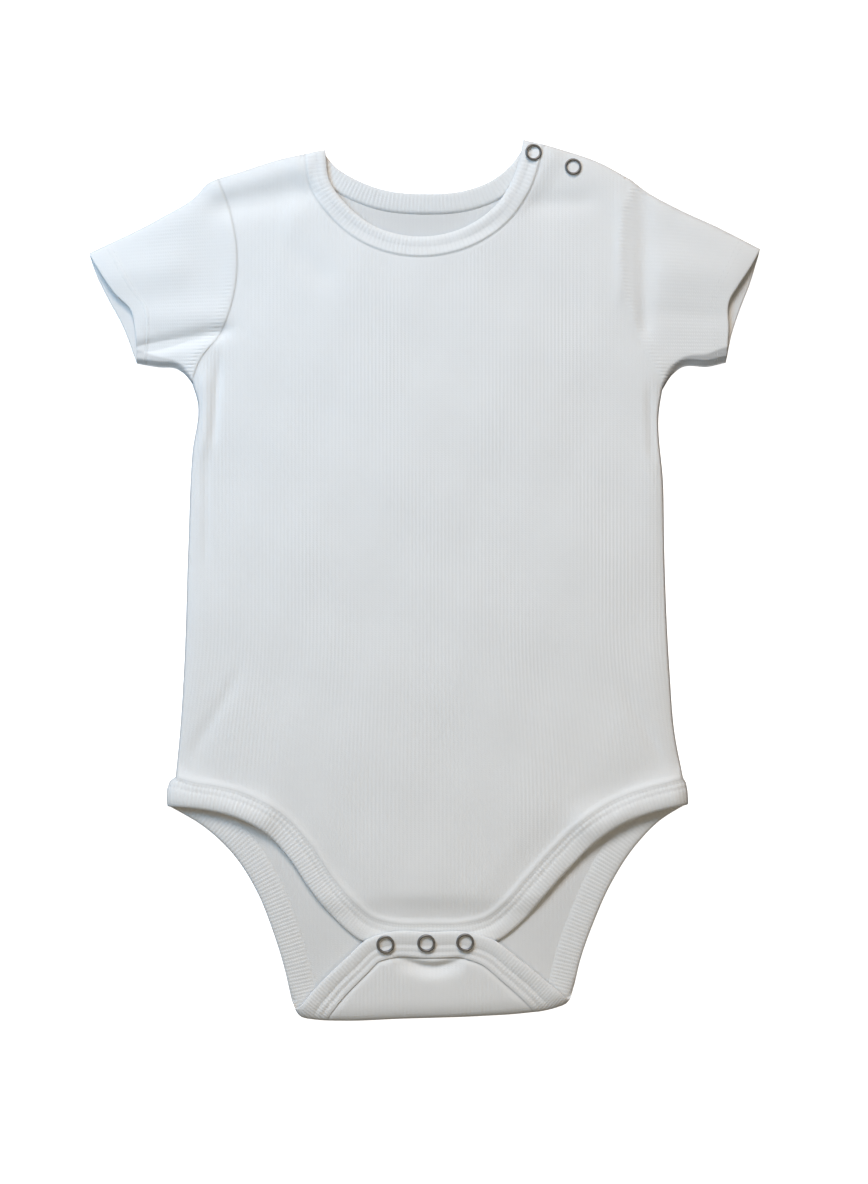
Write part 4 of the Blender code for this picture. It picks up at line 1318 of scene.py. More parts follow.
class BODYSUIT_OT_front(bpy.types.Operator):
    """Makes the front panel, with ribs lengthwise"""

    bl_idname = "bodysuit.front"
    bl_label = "Front Panel"

    def execute(self, context):
        sizes = context.scene.bodysuit_sizes
        outline = drawn_in(front_outline(), SEAM_GAP)
        low, high = outline.min(axis=0), outline.max(axis=0)
        hips = np.arange(low[1] - 1, HIPS_Y, HIPS_STEP)
        belly = np.arange(HIPS_Y, CHEST_Y, BELLY_STEP)
        chest = np.arange(CHEST_Y, high[1] + CHEST_STEP, CHEST_STEP)
        rows = np.concatenate([hips, belly, chest])
        lines = rib_columns(low[0], high[0], rows, sizes.rib_pitch / MM)

        def by_edge(loop):
            return nearest(CLOSED_EDGES, loop) < ON_LINE

        def by_seam(loop):
            return nearest([LEG_SEAM_FRONT, NECK_SEAM, *ARMHOLES], loop) < ON_LINE

        lines += near_lines(outline, EDGE_LINES, by_edge)
        lines += near_lines(outline, SEAM_LINES, by_seam)

        def outer(xy):
            return np.column_stack([xy, front_outer(xy)])

        def inner(xy):
            return np.column_stack([xy, upper_faces(xy)[0]])

        plain = plain_points(outline, PLAIN_STEP, PLAIN_MARGIN)
        flat, points, faces, count = wall(outline, lines, plain, outer, inner)
        share = np.zeros(len(points))
        top = flat[:count]
        share[:count] = soft_step(nearest(CLOSED_EDGES, top) / RIBS_FROM_EDGE) * patches(top)
        share[:count] *= step_from(*RIBS_FROM_LEG, distance_to(LEG_SEAM_FRONT, top))
        share[:count] *= step_from(*RIBS_FROM_SEAM, nearest([NECK_SEAM, *ARMHOLES], top))
        across = rib_place(flat)
        # painted shade in the seams of the neck and the left sleeve, on the outer face
        tint = np.zeros(len(points))
        tint[:count] = seam_painted_shade(top)
        made = cloth_object("front_cloth", points, faces, across, share, flat[:, 1], sizes, tint)
        raise_ribs(context, made, "rib_knit")
        settle(made, "rib_knit", "front_panel")
        size = high - low
        sheet_of(size[0], size[1], area_of(outline))
        return {"FINISHED"}


# Back

TAIL_SEAM_LINES = (0.3, 0.7, 1.2, 1.9, 3.0, 4.4)
CREASE_SPAN = (-246.0, -226.0)  # y of the tail's crease, on the back as it was cut
CREASE_STEP = 0.55
TAIL_SPAN = (-225.0, -66.0)  # y of the ribs above it, up to where the front covers them
TAIL_HALF = 118.0
TAIL_ROW_STEP = 2.6
NECK_START = 144.0  # y of the lowest ribs that show behind the neck
NECK_HALF = 60.0
NECK_ROW_STEP = 3.0
RIBS_FROM_TAIL = (0.8, 3.0)
RIBS_COVERED = (-75.0, 12.0)  # y from where the front covers the back, and over how much
RIBS_BARED = (146.0, 8.0)  # and from where the neck's opening bares it
BACK_ROLL = 1.6  # width over which its upper face rises from a closed edge
BACK_NECK_GROOVE = 0.15
BACK_NECK_GROOVE_WIDTH = 0.9


def back_leg_edge(step=1.0):
    """The free edge of the back's leg openings and tail, on the back as it was cut."""
    left = unrolled(np.array(LEG_EDGE_BACK_LEFT), False)
    tail = unrolled(np.array(TAIL_EDGE), True)
    right = unrolled(np.array(LEG_EDGE_BACK_RIGHT), False)
    return curve(np.concatenate([left, tail, right]), step)


def back_hip_ends():
    """The lines that the back's leg binding ends on, on the back as it was cut."""
    ends = zip(HIP_ENDS, (BACK_INSET, -BACK_INSET))
    return [unrolled(np.array(end), False) + (inset, 0.0) for end, inset in ends]


def back_leg_seam():
    """The seam of that binding."""
    return swept(back_leg_edge(), LEG_BINDING_WIDTH, LEG_BINDING_WIDTH, back_hip_ends())


def back_outline():
    """The back as it was cut, on its seams."""
    neck = offset(curve(NECK_EDGE_BACK), -NECK_BINDING_WIDTH)
    seam = back_leg_seam()
    shoulder_right = curve(SHOULDER_RIGHT)
    shoulder_right = shoulder_right[shoulder_right[:, 0] > neck[-1, 0] + 1]
    parts = (
        curve(SIDE_LEFT)[::-1],
        curve(ARMHOLE_LEFT)[::-1],
        curve(SHOULDER_LEFT[1:])[::-1],
        neck,
        shoulder_right,
        curve(ARMHOLE_RIGHT),
        curve(SIDE_RIGHT),
    )
    return loop_of(*[unrolled(part, False) for part in parts], seam[::-1])[::-1]


class BODYSUIT_OT_back(bpy.types.Operator):
    """Makes the back panel and the tail that folds up over the front"""

    bl_idname = "bodysuit.back"
    bl_label = "Back Panel"

    def execute(self, context):
        sizes = context.scene.bodysuit_sizes
        outline = back_outline()
        lying = outline - (0, BEND_TAKE_UP)
        closed = nearest(CLOSED_EDGES, lying) < ON_LINE
        outline = drawn_in(outline, np.where(closed, BACK_INSET, SEAM_GAP))
        low, high = outline.min(axis=0), outline.max(axis=0)
        pitch = sizes.rib_pitch / MM
        tip = np.arange(low[1] - 1, CREASE_SPAN[0] - 1, TAIL_ROW_STEP)
        crease = np.arange(*CREASE_SPAN, CREASE_STEP)
        rows = np.concatenate([tip, crease, np.arange(*TAIL_SPAN, TAIL_ROW_STEP)])
        lines = rib_columns(-TAIL_HALF, TAIL_HALF, rows, pitch)
        rows = np.arange(NECK_START, high[1] + 2, NECK_ROW_STEP)
        lines += rib_columns(-NECK_HALF, NECK_HALF, rows, pitch)
        across_steps = np.arange(low[0] - 1, high[0] + BEND_STEP, BEND_STEP)
        for past in np.linspace(-1, 1, BEND_ROWS) * BEND_LENGTH:
            lines.append(np.stack([across_steps, fold_y(across_steps) + past], axis=1))

        leg_seam = back_leg_seam()
        neck_seam = unrolled(offset(curve(NECK_EDGE_BACK), -NECK_BINDING_WIDTH), False)

        def by_seam(loop):
            return distance_to(leg_seam, loop) < ON_LINE

        lines += near_lines(outline, TAIL_SEAM_LINES, by_seam)

        def step(flat):
            fold = dent(flat[:, 1] - fold_y(flat[:, 0]), FOLD_SMOOTH)
            seam = np.exp(-((distance_to(leg_seam, flat) / TAIL_STEP_WIDTH) ** 1.5))
            return TAIL_STEP * seam * (1 - fold)

        def outer(flat):
            return folded(flat, tail_share(flat) * step(flat))

        def inner(flat):
            edge = nearest(CLOSED_EDGES, flat - (0, BEND_TAKE_UP)) - BACK_INSET
            groove = BACK_NECK_GROOVE * dent(distance_to(neck_seam, flat), BACK_NECK_GROOVE_WIDTH)
            depth = BACK_RIM + (CLOTH - groove - BACK_RIM) * roll(edge / BACK_ROLL)
            return folded(flat, np.where(tail_share(flat) > 0.5, CLOTH + step(flat), depth))

        flat, points, faces, count = wall(outline, lines, None, outer, inner)
        on_tail = tail_share(flat)
        share = 1 - on_tail
        share[:count] = on_tail[:count]
        share *= step_from(*RIBS_FROM_TAIL, distance_to(leg_seam, flat)) * patches(flat)
        covered = step_from(*RIBS_COVERED, flat[:, 1]) * (1 - step_from(*RIBS_BARED, flat[:, 1]))
        share *= 1 - covered
        across = rib_place(flat)
        # painted shade on the back's inner face, deeper behind the neck
        tint = np.where(flat[:, 1] > 0, NECK_INSIDE_PAINTED_SHADE, INSIDE_PAINTED_SHADE)
        # on the tail's outer face, painted shade in its binding's seam
        seam = distance_to(leg_seam, flat[:count])
        tint[:count] = TAIL_SEAM_PAINTED_SHADE * dent(seam, SEAM_PAINTED_SHADE_WIDTH)
        made = cloth_object("back_cloth", points, faces, across, share, flat[:, 1], sizes, tint)
        raise_ribs(context, made, "rib_knit")
        settle(made, "rib_knit", "back_panel")
        size = high - low
        sheet_of(size[0], size[1], area_of(outline))
        return {"FINISHED"}


# Sleeves


SLEEVES = (
    # name, armhole, upper and lower folded edge, upper and lower line of the cuff
    ("left", ARMHOLE_LEFT, SLEEVE_TOP_LEFT, SLEEVE_UNDER_LEFT, CUFF_UPPER_LEFT, CUFF_LOWER_LEFT),
    ("right", ARMHOLE_RIGHT, SLEEVE_TOP_RIGHT, SLEEVE_UNDER_RIGHT, CUFF_UPPER_RIGHT, CUFF_LOWER_RIGHT),
)
EDGE_REACHES = (0.0, 0.12, 0.35, 0.75, 1.3, 2.1, 3.2, 4.6)  # in from the folded edges
# Distances of the rings of points: from the cuff's edge, and from the armhole
CUFF_RINGS = (0.0, 0.12, 0.4, 0.8, 1.4, 2.4, 4.5, 6.8, 7.9, 8.3, 8.6, 8.9, 9.4, 10.1)
HEM_RINGS = (10.5, 10.8, 11.0, 11.2, 11.5, 11.9, 12.6)
ARM_RINGS = (6.0, 4.5, 3.2, 2.2, 1.4, 0.8, 0.35, 0.0)
PLAIN_RINGS = 18
PLAIN_START, PLAIN_END = 14.5, 8.0
FINE_SHARES = np.linspace(0, 1, 400)
LOWER_SHARES = np.linspace(0.12, 0.88, 24)
INNER_POINTS = 40  # across the inner face of one half
INNER_INSET = 1.4  # in from the folded edges to where the inner faces meet
MARGIN = 0.3  # beside the folded edges, without points of the ribs
APART = 0.12  # least distance between the points of the ribs and the others
TURN = 1.3  # width over which the cloth turns at the folded edges and at the cuff
HEM_FALL = 0.8  # width over which the hem's thickness ends
HEM_START, HEM_START_INSIDE = 0.1, 0.3  # from its stitches to there, outside and inside
ROW_WIDTH, SECOND_ROW_WIDTH = 0.5, 0.4  # half widths of the dents of its rows of stitches
SECOND_ROW = 0.7  # depth of the second row's dent, to the first one's
SEWN_EDGE = 2.0  # how far in from a folded edge the sewing shows in full
PUFF = 0.15  # height of the soft roll beside the armhole
PUFF_PLACE, PUFF_WIDTH = 3.2, 2.0
ARM_STEP_RISE = 0.7  # width over which the left sleeve steps up, and where it comes down again
ARM_STEP_END = (1.0, 9.0)
CUFF_DROP = 0.5  # how far the upper half's outer face comes down at the cuff's edge
CUFF_LIFT, CUFF_LIFT_WIDTH = 0.4, 1.0  # how far the lower half's comes up there
CUFF_LOFT = 0.15  # how far the upper half's inner face comes up there
INNER_OFF = 0.02  # least height of that face over the folded edges
INNER_RISE = 3.0  # width over which the lower half's inner face comes to its place
INNER_RIBS = 0.6  # share of the ribs' height that shows inside
SLEEVE_RIBS = 0.5  # and outside, before what is added beside the armhole
ARM_RIBS, ARM_RIBS_PLACE, ARM_RIBS_WIDTH = 1.6, 3.0, 2.6
ARM_RIBS_START = (0.5, 1.2)


class SleeveForm:
    """Where the cloth of one sleeve lies, by a share of its length and one of its width."""

    def __init__(self, name, armhole, top, under, cuff_upper, cuff_lower):
        self.name = name
        self.armhole, self.top, self.under = curve(armhole, 1.0), curve(top), curve(under)
        self.cuffs = {"upper": curve(cuff_upper, 1.0), "lower": curve(cuff_lower, 1.0)}
        self.side = math.copysign(1.0, self.top[-1, 0])
        self.length = np.linalg.norm(self.top[-1] - self.top[0])

    def place(self, share, across, half):
        """A point at a share of the sleeve's length and shares of its width, from its top."""
        cuff = self.cuffs[half]
        across = np.asarray(across, float)
        root, end = along(self.armhole, across), along(cuff, across)
        across = across[:, None]
        sides = (1 - across) * along(self.top, [share]) + across * along(self.under, [share])
        first = (1 - share) * self.armhole[0] + share * cuff[0]
        last = (1 - share) * self.armhole[-1] + share * cuff[-1]
        return (1 - share) * root + share * end + sides - (1 - across) * first - across * last

    def across_ribs(self, xy):
        """Millimetres across the ribs, from the top down. They fan out from a far point."""
        x, y = (xy - np.array((self.side * SLEEVE_FAN_X, SLEEVE_FAN_Y))).T
        return -SLEEVE_FAN_RADIUS * np.arctan2(y, -self.side * x)

    def under_shade(self, xy):
        """Painted shade where the cloth turns under: how much darker it is painted there."""
        share = np.clip((np.abs(xy[:, 0]) - UNDER_SHADE_START) / UNDER_SHADE_RUN, 0, 1)
        width = UNDER_SHADE_WIDTH * np.sqrt(share)
        reach = (width - distance_to(self.under, xy)) / UNDER_SHADE_EDGE
        return UNDER_SHADES[self.name] * soft_step(reach)

    def outer(self, xy, from_cuff):
        """Height of the upper half's outer face, by its distance from the cuff's edge too."""
        inner, outer = upper_faces(xy, SLEEVE_FOLD_Z, SLEEVE_FOLD_Z)
        arm = nearest(ARMHOLES, xy)
        left = self.name == "left"
        past = from_cuff - CUFF_HEM
        hem = HEM_THICKER * (1 - step_from(HEM_START, HEM_FALL, past)) * (1 if left else HEM_RIGHT)
        rows = dent(past, ROW_WIDTH) + SECOND_ROW * dent(past + HEM_ROW_GAP, SECOND_ROW_WIDTH)
        edge = soft_step(nearest(CLOSED_EDGES, xy) / SEWN_EDGE)
        puff = PUFF * dent(arm - PUFF_PLACE, PUFF_WIDTH)
        if left:
            step = ARM_STEP * soft_step(arm / ARM_STEP_RISE)
            puff += step * (1 - step_from(*ARM_STEP_END, arm))
        end = CUFF_DROP * (1 - roll(from_cuff / TURN))
        outer = outer + edge * (hem - HEM_DENTS[self.name] * rows + puff - end)
        return np.maximum(outer, inner + SEWN_THINNEST * edge)


class SleeveCloth:
    """The cloth of one sleeve, in rings of points from the cuff to the armhole."""

    def __init__(self, form, step):
        self.form = form
        self.step = step  # from one line of points down a rib to the next
        self.points, self.shares, self.painted_shades = [], [], []
        plain = np.linspace(PLAIN_START, form.length - PLAIN_END, PLAIN_RINGS)
        arm = [form.length - SEAM_GAP - reach for reach in ARM_RINGS]
        self.rings = [self.ring(back) for back in (*CUFF_RINGS, *HEM_RINGS, *plain, *arm)]

    def add(self, places, heights, share, tint=0.0):
        """Adds a row of points and returns their numbers."""
        first = len(self.points)
        self.points.extend(np.column_stack([places, heights]))
        self.shares.extend(np.broadcast_to(share, len(places)))
        # painted shade for each point
        self.painted_shades.extend(np.broadcast_to(tint, len(places)))
        return list(range(first, len(self.points)))

    def rib_keys(self, line, width, edges):
        """Shares of the width on the ribs and by the edges, and their places across the ribs."""
        angle = self.form.across_ribs(line)
        first, last = math.ceil(angle[0] / self.step), math.floor(angle[-1] / self.step)
        keys = np.interp(self.step * np.arange(first, last + 1), angle, FINE_SHARES)
        clear = np.abs(keys[:, None] - edges[None]).min(axis=1) > APART / width
        keys = keys[clear & (keys > MARGIN / width) & (keys < 1 - MARGIN / width)]
        keys = np.sort(np.concatenate([keys, edges]))
        return keys, np.interp(keys, FINE_SHARES, angle)

    def ring(self, back):
        """One ring, at a distance from the cuff's edge: its rows of points and their shares."""
        at = 1 - back / self.form.length
        line = self.form.place(at, FINE_SHARES, "upper")
        width = run_of(line)[-1]
        ends = np.array(EDGE_REACHES) / width
        edges = np.concatenate([ends, 1 - ends])
        keys, ribs = self.rib_keys(line, width, edges)
        low_keys = np.sort(np.concatenate([edges, LOWER_SHARES]))
        inset = INNER_INSET / width
        in_keys = np.linspace(inset, 1 - inset, INNER_POINTS)
        upper, lower = self.outside(back, at, keys, low_keys, width)
        in_upper, in_lower = self.inside(back, at, in_keys, width)
        made = {"ribs": ribs, "keys": keys, "low_keys": low_keys, "in_keys": in_keys}
        return {**made, "upper": upper, "lower": lower, "in_upper": in_upper, "in_lower": in_lower}

    def outside(self, back, at, keys, low_keys, width):
        """The outer faces of a ring's upper and lower half."""
        places = self.form.place(at, keys, "upper")
        edge = np.minimum(keys, 1 - keys) * width
        arm = nearest(ARMHOLES, places)
        clear = SLEEVE_RIBS + ARM_RIBS * dent(arm - ARM_RIBS_PLACE, ARM_RIBS_WIDTH)
        clear = clear * step_from(*ARM_RIBS_START, arm) * patches(places)
        share = soft_step(edge / RIBS_FROM_EDGE) * clear
        # painted shade in the armhole's seam and where the cloth turns under
        shade = seam_painted_shade(places) + self.form.under_shade(places)
        upper = self.add(places, self.form.outer(places, back), share, shade)
        places = self.form.place(at, low_keys, "lower")
        edge = np.minimum(low_keys, 1 - low_keys) * width
        lift = SLEEVE_FOLD_Z * (1 - roll(edge / TURN))
        lift = lift + CUFF_LIFT * (1 - roll(back / CUFF_LIFT_WIDTH))
        lower = self.add(places[1:-1], lift[1:-1], 0.0)
        return upper, [upper[0], *lower, upper[-1]]

    def inside(self, back, at, keys, width):
        """The inner faces of a ring's upper and lower half."""
        end = 1 - roll(back / TURN)
        places = self.form.place(at, keys, "upper")
        heights = upper_faces(places, SLEEVE_FOLD_Z, SLEEVE_FOLD_Z)[0]
        heights = np.maximum(heights, SLEEVE_FOLD_Z + INNER_OFF) + CUFF_LOFT * end
        # painted shade on both inner faces, which show inside the cuff
        upper = self.add(places, heights, 0.0, INSIDE_PAINTED_SHADE)
        places = self.form.place(at, keys, "lower")
        edge = (np.minimum(keys, 1 - keys) - keys[0]) * width
        past = back - CUFF_HEM
        hem = HEM_THICKER * (1 - step_from(HEM_START_INSIDE, HEM_FALL, past))
        hem -= NEEDLE_DENT * dent(past, ROW_WIDTH)
        settled = CLOTH + hem - CUFF_DROP * end
        heights = SLEEVE_FOLD_Z + (settled - SLEEVE_FOLD_Z) * soft_step(edge / INNER_RISE)
        lower = self.add(places[1:-1], heights[1:-1], INNER_RIBS, INSIDE_PAINTED_SHADE)
        return upper, [upper[0], *lower, upper[-1]]

    def faces(self):
        """Faces between the rings, and across the edges of the cuff and the armhole."""
        found = []
        for a, b in zip(self.rings, self.rings[1:]):
            found += join_chains(a["upper"], b["upper"], a["ribs"], b["ribs"])
            for row in ("lower", "in_upper", "in_lower"):
                found += [list(q) for q in zip(a[row], a[row][1:], b[row][1:], b[row])]
        for ring in (self.rings[0], self.rings[-1]):
            found += join_chains(ring["upper"], ring["in_upper"], ring["keys"], ring["in_keys"])
            found += join_chains(ring["lower"], ring["in_lower"], ring["low_keys"], ring["in_keys"])
        return found


class BODYSUIT_OT_sleeves(bpy.types.Operator):
    """Makes the two short sleeves, each a flattened tube with a turned hem"""

    bl_idname = "bodysuit.sleeves"
    bl_label = "Sleeves"

    def execute(self, context):
        for lines in SLEEVES:
            self.sleeve(context, SleeveForm(*lines))
        return {"FINISHED"}

    def sleeve(self, context, form):
        sizes = context.scene.bodysuit_sizes
        made = SleeveCloth(form, sizes.rib_pitch / MM / RIB_CUTS)
        flat = np.array(made.points)[:, :2]
        name = f"sleeve_{form.name}"
        cloth = cloth_object(
            f"{name}_cloth",
            made.points,
            made.faces(),
            form.across_ribs(flat),
            made.shares,
            form.side * flat[:, 0],
            sizes,
            made.painted_shades,
        )
        raise_ribs(context, cloth, "rib_knit")
        settle(cloth, "rib_knit", name)
        round_arm = 2 * run_of(form.armhole)[-1]
        root, under = form.armhole[::-1], form.under[::-1]
        halves = [np.concatenate([root, form.top, cuff, under]) for cuff in form.cuffs.values()]
        sheet_of(round_arm, form.length, sum(area_of(half) for half in halves))


# Bindings

SNAPS_HALF = 36.0  # half the width of the stretch with the snaps
LEG_FULL = 1.1  # thickness of the cloth from which a leg binding has its full height
LEG_LEAST = 0.9  # share of a bound edge's height that its crest then has at least
LEG_BLEND = (4.5, 3.5)  # where its section goes over from the edge to the flat part
LEG_THINNEST = 0.15
NECK_BLEND = (5.0, 4.0)  # the same for the neck's binding
NECK_TOP = 7.0  # from where its crown keeps its height
NECK_LOFT, NECK_LOFT_WIDTH = 0.45, 2.5  # how much more it stands up away from its edge
NECK_STEP_START, NECK_STEP_WIDTH = 1.1, 1.0  # from its seam to where the step falls off
NECK_DENT = 0.5  # depth of its dents, to those of the legs
MIDDLE_LESS = 0.6  # share of their depth that the front's dents lose between the snaps
TAIL_DENT, TAIL_MIDDLE_LESS = 2.2, 1.2  # the same for the tail's dents, which are deeper
CLOSED_LEAST = 0.15  # share of its height that a lower binding keeps at a closed edge
CLOSED_ROLL = 2.0
CLEAR_OF_FOLD = 20.0  # from the fold to where its ends at the hips may begin
BAND_RIBS = (-0.5, 2.0)  # from the free edge to where its ribs start, and over how much
BAND_RIBS_END = 1.5  # width over which they end at the seam
BAND_MIDDLE_LESS = 0.75  # share of their height that they lose between the snaps
NEEDLE_PAINTED_SHADE_WIDTH = 0.5
# Distances of the lines of points from a free edge, and from the seam
BAND_LINES = (0.0, 0.06, 0.2, 0.45, 0.9, 1.5, 2.3, 3.4, 4.6, 5.6, 6.2, 6.7, 7.4, 8.2, 8.9, 9.6, 10.2)
BAND_SEAM_LINES = (1.6, 1.2, 0.85, 0.5, 0.2, 0.0)


def height_at(section, distance):
    """The height of a section at a distance."""
    return float(np.interp(distance, *np.transpose(section)))


def lift_of(share):
    """How far a binding's underside lifts at a share of its width."""
    return BINDING * height_at(LIFT, share)


def needle_dents(distance, lines):
    """The dents of the rows of stitches along a binding."""
    return NEEDLE_DENT * sum(dent(distance - line, NEEDLE_WIDTH) for line in lines)


def middle(line):
    """1 between the snaps, where the bindings are drawn smooth, and 0 on the legs."""
    return np.exp(-((line[:, 0] / SNAPS_HALF) ** 4))


def on_upper_layer(line, distance, sink=0.0):
    """Both faces of a binding of the front: low and high points."""
    inner, outer = upper_faces(line)
    strip = STRIP_RISE * soft_step(nearest(CLOSED_EDGES, line) / SEWN_FADE)
    cloth = np.maximum(outer, inner + THINNEST) + strip
    full = soft_step((cloth - inner) / LEG_FULL)
    crest = inner + np.maximum(cloth - inner + LEG_CREST, LEG_LEAST * BINDING * full)
    edge_part = inner + (crest - inner) * height_at(LEG_EDGE_RISE, distance)
    flat_part = cloth + height_at(LEG_PLATEAU, distance) * full
    blend = step_from(*LEG_BLEND, distance)
    dents = needle_dents(distance, LEG_NEEDLES) * (1 - MIDDLE_LESS * middle(line))
    high = (1 - blend) * edge_part + blend * flat_part - dents - sink
    low = inner + lift_of(distance / LEG_BINDING_WIDTH) * full
    high = np.maximum(high, low + LEG_THINNEST)
    return np.column_stack([line, low]), np.column_stack([line, high])


def on_neck(line, distance, sink=0.0):
    """Both faces of the front's neck binding."""
    inner, outer = upper_faces(line)
    blend = step_from(*NECK_BLEND, distance)
    crown = inner + height_at(NECK_CROWN, min(distance, NECK_TOP))
    crown = crown + NECK_LOFT * soft_step(distance / NECK_LOFT_WIDTH)
    past = distance - NECK_BINDING_WIDTH + NECK_STEP_START
    step = NECK_STEP * (1 - soft_step(past / NECK_STEP_WIDTH))
    plateau = outer + step * soft_step(nearest(CLOSED_EDGES, line) / SEWN_FADE)
    high = (1 - blend) * crown + blend * plateau
    high = high - NECK_DENT * needle_dents(distance, NECK_NEEDLES) - sink
    low = inner + lift_of(distance / NECK_BINDING_WIDTH)
    high = np.maximum(high, low + SEWN_THINNEST)
    return np.column_stack([line, low]), np.column_stack([line, high])


def closing(line, take_up=0.0):
    """How much of its height the lower layer's binding keeps near a closed edge."""
    edge = nearest(CLOSED_EDGES, line - (0, take_up)) - BACK_INSET
    return CLOSED_LEAST + (1 - CLOSED_LEAST) * roll(edge / CLOSED_ROLL)


def on_ground(line, distance, sink=0.0):
    """Both faces of the back's neck binding."""
    kept = closing(line)
    low = lift_of(distance / NECK_BINDING_WIDTH) * kept
    high = height_at(NECK_CROWN, distance) * kept - sink
    return np.column_stack([line, low]), np.column_stack([line, high])


def on_back(line, distance, sink=0.0):
    """Both faces of the back's binding, crowned on the side that faces up."""
    past = line[:, 1] - fold_y(line[:, 0])
    on_tail = tail_share(line)
    thin = 1 - BEND_THINNING * dent(past, NEAR_FOLD)
    kept = np.where(past > CLEAR_OF_FOLD, closing(line, BEND_TAKE_UP), 1.0)
    low = lift_of(distance / LEG_BINDING_WIDTH) * thin * kept
    high = height_at(GROUND_CROWN, distance) * thin * kept - sink
    deeper = TAIL_DENT - TAIL_MIDDLE_LESS * middle(line)
    dents = deeper * needle_dents(distance, TAIL_NEEDLES)
    tail_high = height_at(TAIL_CROWN, distance) - dents - sink
    near = dent(past, FOLD_SMOOTH)
    tail_high = tail_high * (1 - near) + FOLD_CROWN * near
    outer = (1 - on_tail) * low - on_tail * tail_high * thin
    inner = (1 - on_tail) * high + on_tail * ((CLOTH + BINDING_BELOW) * thin - low)
    return folded(line, outer), folded(line, inner)


LEG_PLACES = (on_upper_layer, on_back)
NEEDLES = {on_upper_layer: LEG_NEEDLES, on_back: TAIL_NEEDLES, on_neck: NECK_NEEDLES}


def band_looks(place, line, face, distance, width, tint):
    """How much the ribs show along one line of a binding, and how much painted shade darkens it there.
    """
    folds = place is on_back
    up = np.full(len(line), float(face))
    if folds:
        up = tail_share(line) if face == 0 else 1 - tail_share(line)
    share = step_from(*BAND_RIBS, distance) * soft_step((width - distance) / BAND_RIBS_END) * up
    if place in LEG_PLACES:
        share = share * (1 - BAND_MIDDLE_LESS * middle(line))
    rows = NEEDLES.get(place, ())
    # painted shade in the stitches' dents and in the seam
    sewn = NEEDLE_PAINTED_SHADE * sum(dent(distance - row, NEEDLE_PAINTED_SHADE_WIDTH) for row in rows)
    sewn += SEAM_PAINTED_SHADE * dent(width - distance, SEAM_PAINTED_SHADE_WIDTH)
    outside = up if face == 0 or not folds else 0 * up
    return share, sewn * outside + tint * (1 - outside if folds else 1)


def tube_faces(count, around):
    """Quads round a tube of points, and one face at each end."""
    numbers = np.arange(count * around).reshape(count, around)
    after = np.roll(numbers, -1, axis=1)
    quads = np.stack([numbers[:-1], after[:-1], after[1:], numbers[1:]], axis=2).reshape(-1, 4)
    return quads.tolist() + [numbers[0].tolist(), numbers[-1].tolist()]


def cut_ends(data):
    """Cuts the end faces of a tube into triangles."""
    mesh = bmesh.new()
    mesh.from_mesh(data)
    bmesh.ops.triangulate(mesh, faces=[face for face in mesh.faces if len(face.verts) > 4])
    mesh.to_mesh(data)
    mesh.free()


def band_cloth(context, node, edge, width, place, ends=NO_ENDS, tint=0.0):
    """A bound edge: a strip along its free edge, swept to the left of it, with ribs across it."""
    sizes = context.scene.bodysuit_sizes
    edge = even(edge, sizes.band_pitch / MM / RIB_CUTS)
    high = [reach for reach in BAND_LINES if reach < width - BAND_SEAM_LINES[0]]
    high += [width - reach for reach in BAND_SEAM_LINES]
    low = high if place is on_back else [share * width for share, _ in LIFT]
    columns, shares, strips, painted_shades = [], [], [], []
    for distances, face in ((high, 1), (low[::-1], 0)):
        for distance in distances:
            line = swept(edge, distance - (SEAM_GAP if distance == width else 0), width, ends)
            columns.append(place(line, distance)[face])
            # shade is painted shade in seams, stitches and inside the openings
            share, shade = band_looks(place, line, face, distance, width, tint)
            shares.append(share)
            painted_shades.append(shade)
            strips.append(distance)
    points = np.stack(columns, axis=1).reshape(-1, 3)
    made = cloth_object(
        f"{node}_cloth",
        points,
        tube_faces(len(edge), len(columns)),
        np.repeat(run_of(edge), len(columns)),
        np.stack(shares, axis=1).ravel(),
        np.tile(strips, len(edge)),
        sizes,
        np.stack(painted_shades, axis=1).ravel(),
        band=True,
    )
    cut_ends(made.data)
    raise_ribs(context, made, "binding_knit", band=True)
    settle(made, "binding_knit", node)
    sheet_of(width, run_of(edge)[-1])


def neck_edge_front():
    """The free edge of the front's neck binding."""
    return offset(NECK_SEAM, NECK_BINDING_WIDTH)[::-1]


class BODYSUIT_OT_neck_bindings(bpy.types.Operator):
    """Makes the two runs of the neck's binding"""

    bl_idname = "bodysuit.neck_bindings"
    bl_label = "Neck Bindings"

    def execute(self, context):
        # tint is painted shade on the back's binding, seen inside the opening
        width, tint = NECK_BINDING_WIDTH, INSIDE_BINDING_PAINTED_SHADE
        edge = curve(NECK_EDGE_BACK, 1.0)[::-1]
        band_cloth(context, "neck_binding_back", edge, width, on_ground, tint=tint)
        edge = neck_edge_front()
        band_cloth(context, "neck_binding_front", edge, width, on_neck)
        return {"FINISHED"}


class BODYSUIT_OT_leg_bindings(bpy.types.Operator):
    """Makes the bindings of the leg openings, the front's crotch edge and the tail"""

    bl_idname = "bodysuit.leg_bindings"
    bl_label = "Leg Bindings"

    def execute(self, context):
        # tint is painted shade on the back's binding, seen inside the openings
        width, tint = LEG_BINDING_WIDTH, INSIDE_BINDING_PAINTED_SHADE
        edge = curve(LEG_EDGE_FRONT, 1.0)
        band_cloth(context, "leg_binding_front", edge, width, on_upper_layer, HIP_ENDS)
        edge, ends = back_leg_edge(), back_hip_ends()
        band_cloth(context, "leg_binding_back", edge, width, on_back, ends, tint)
        return {"FINISHED"}


# Sewing


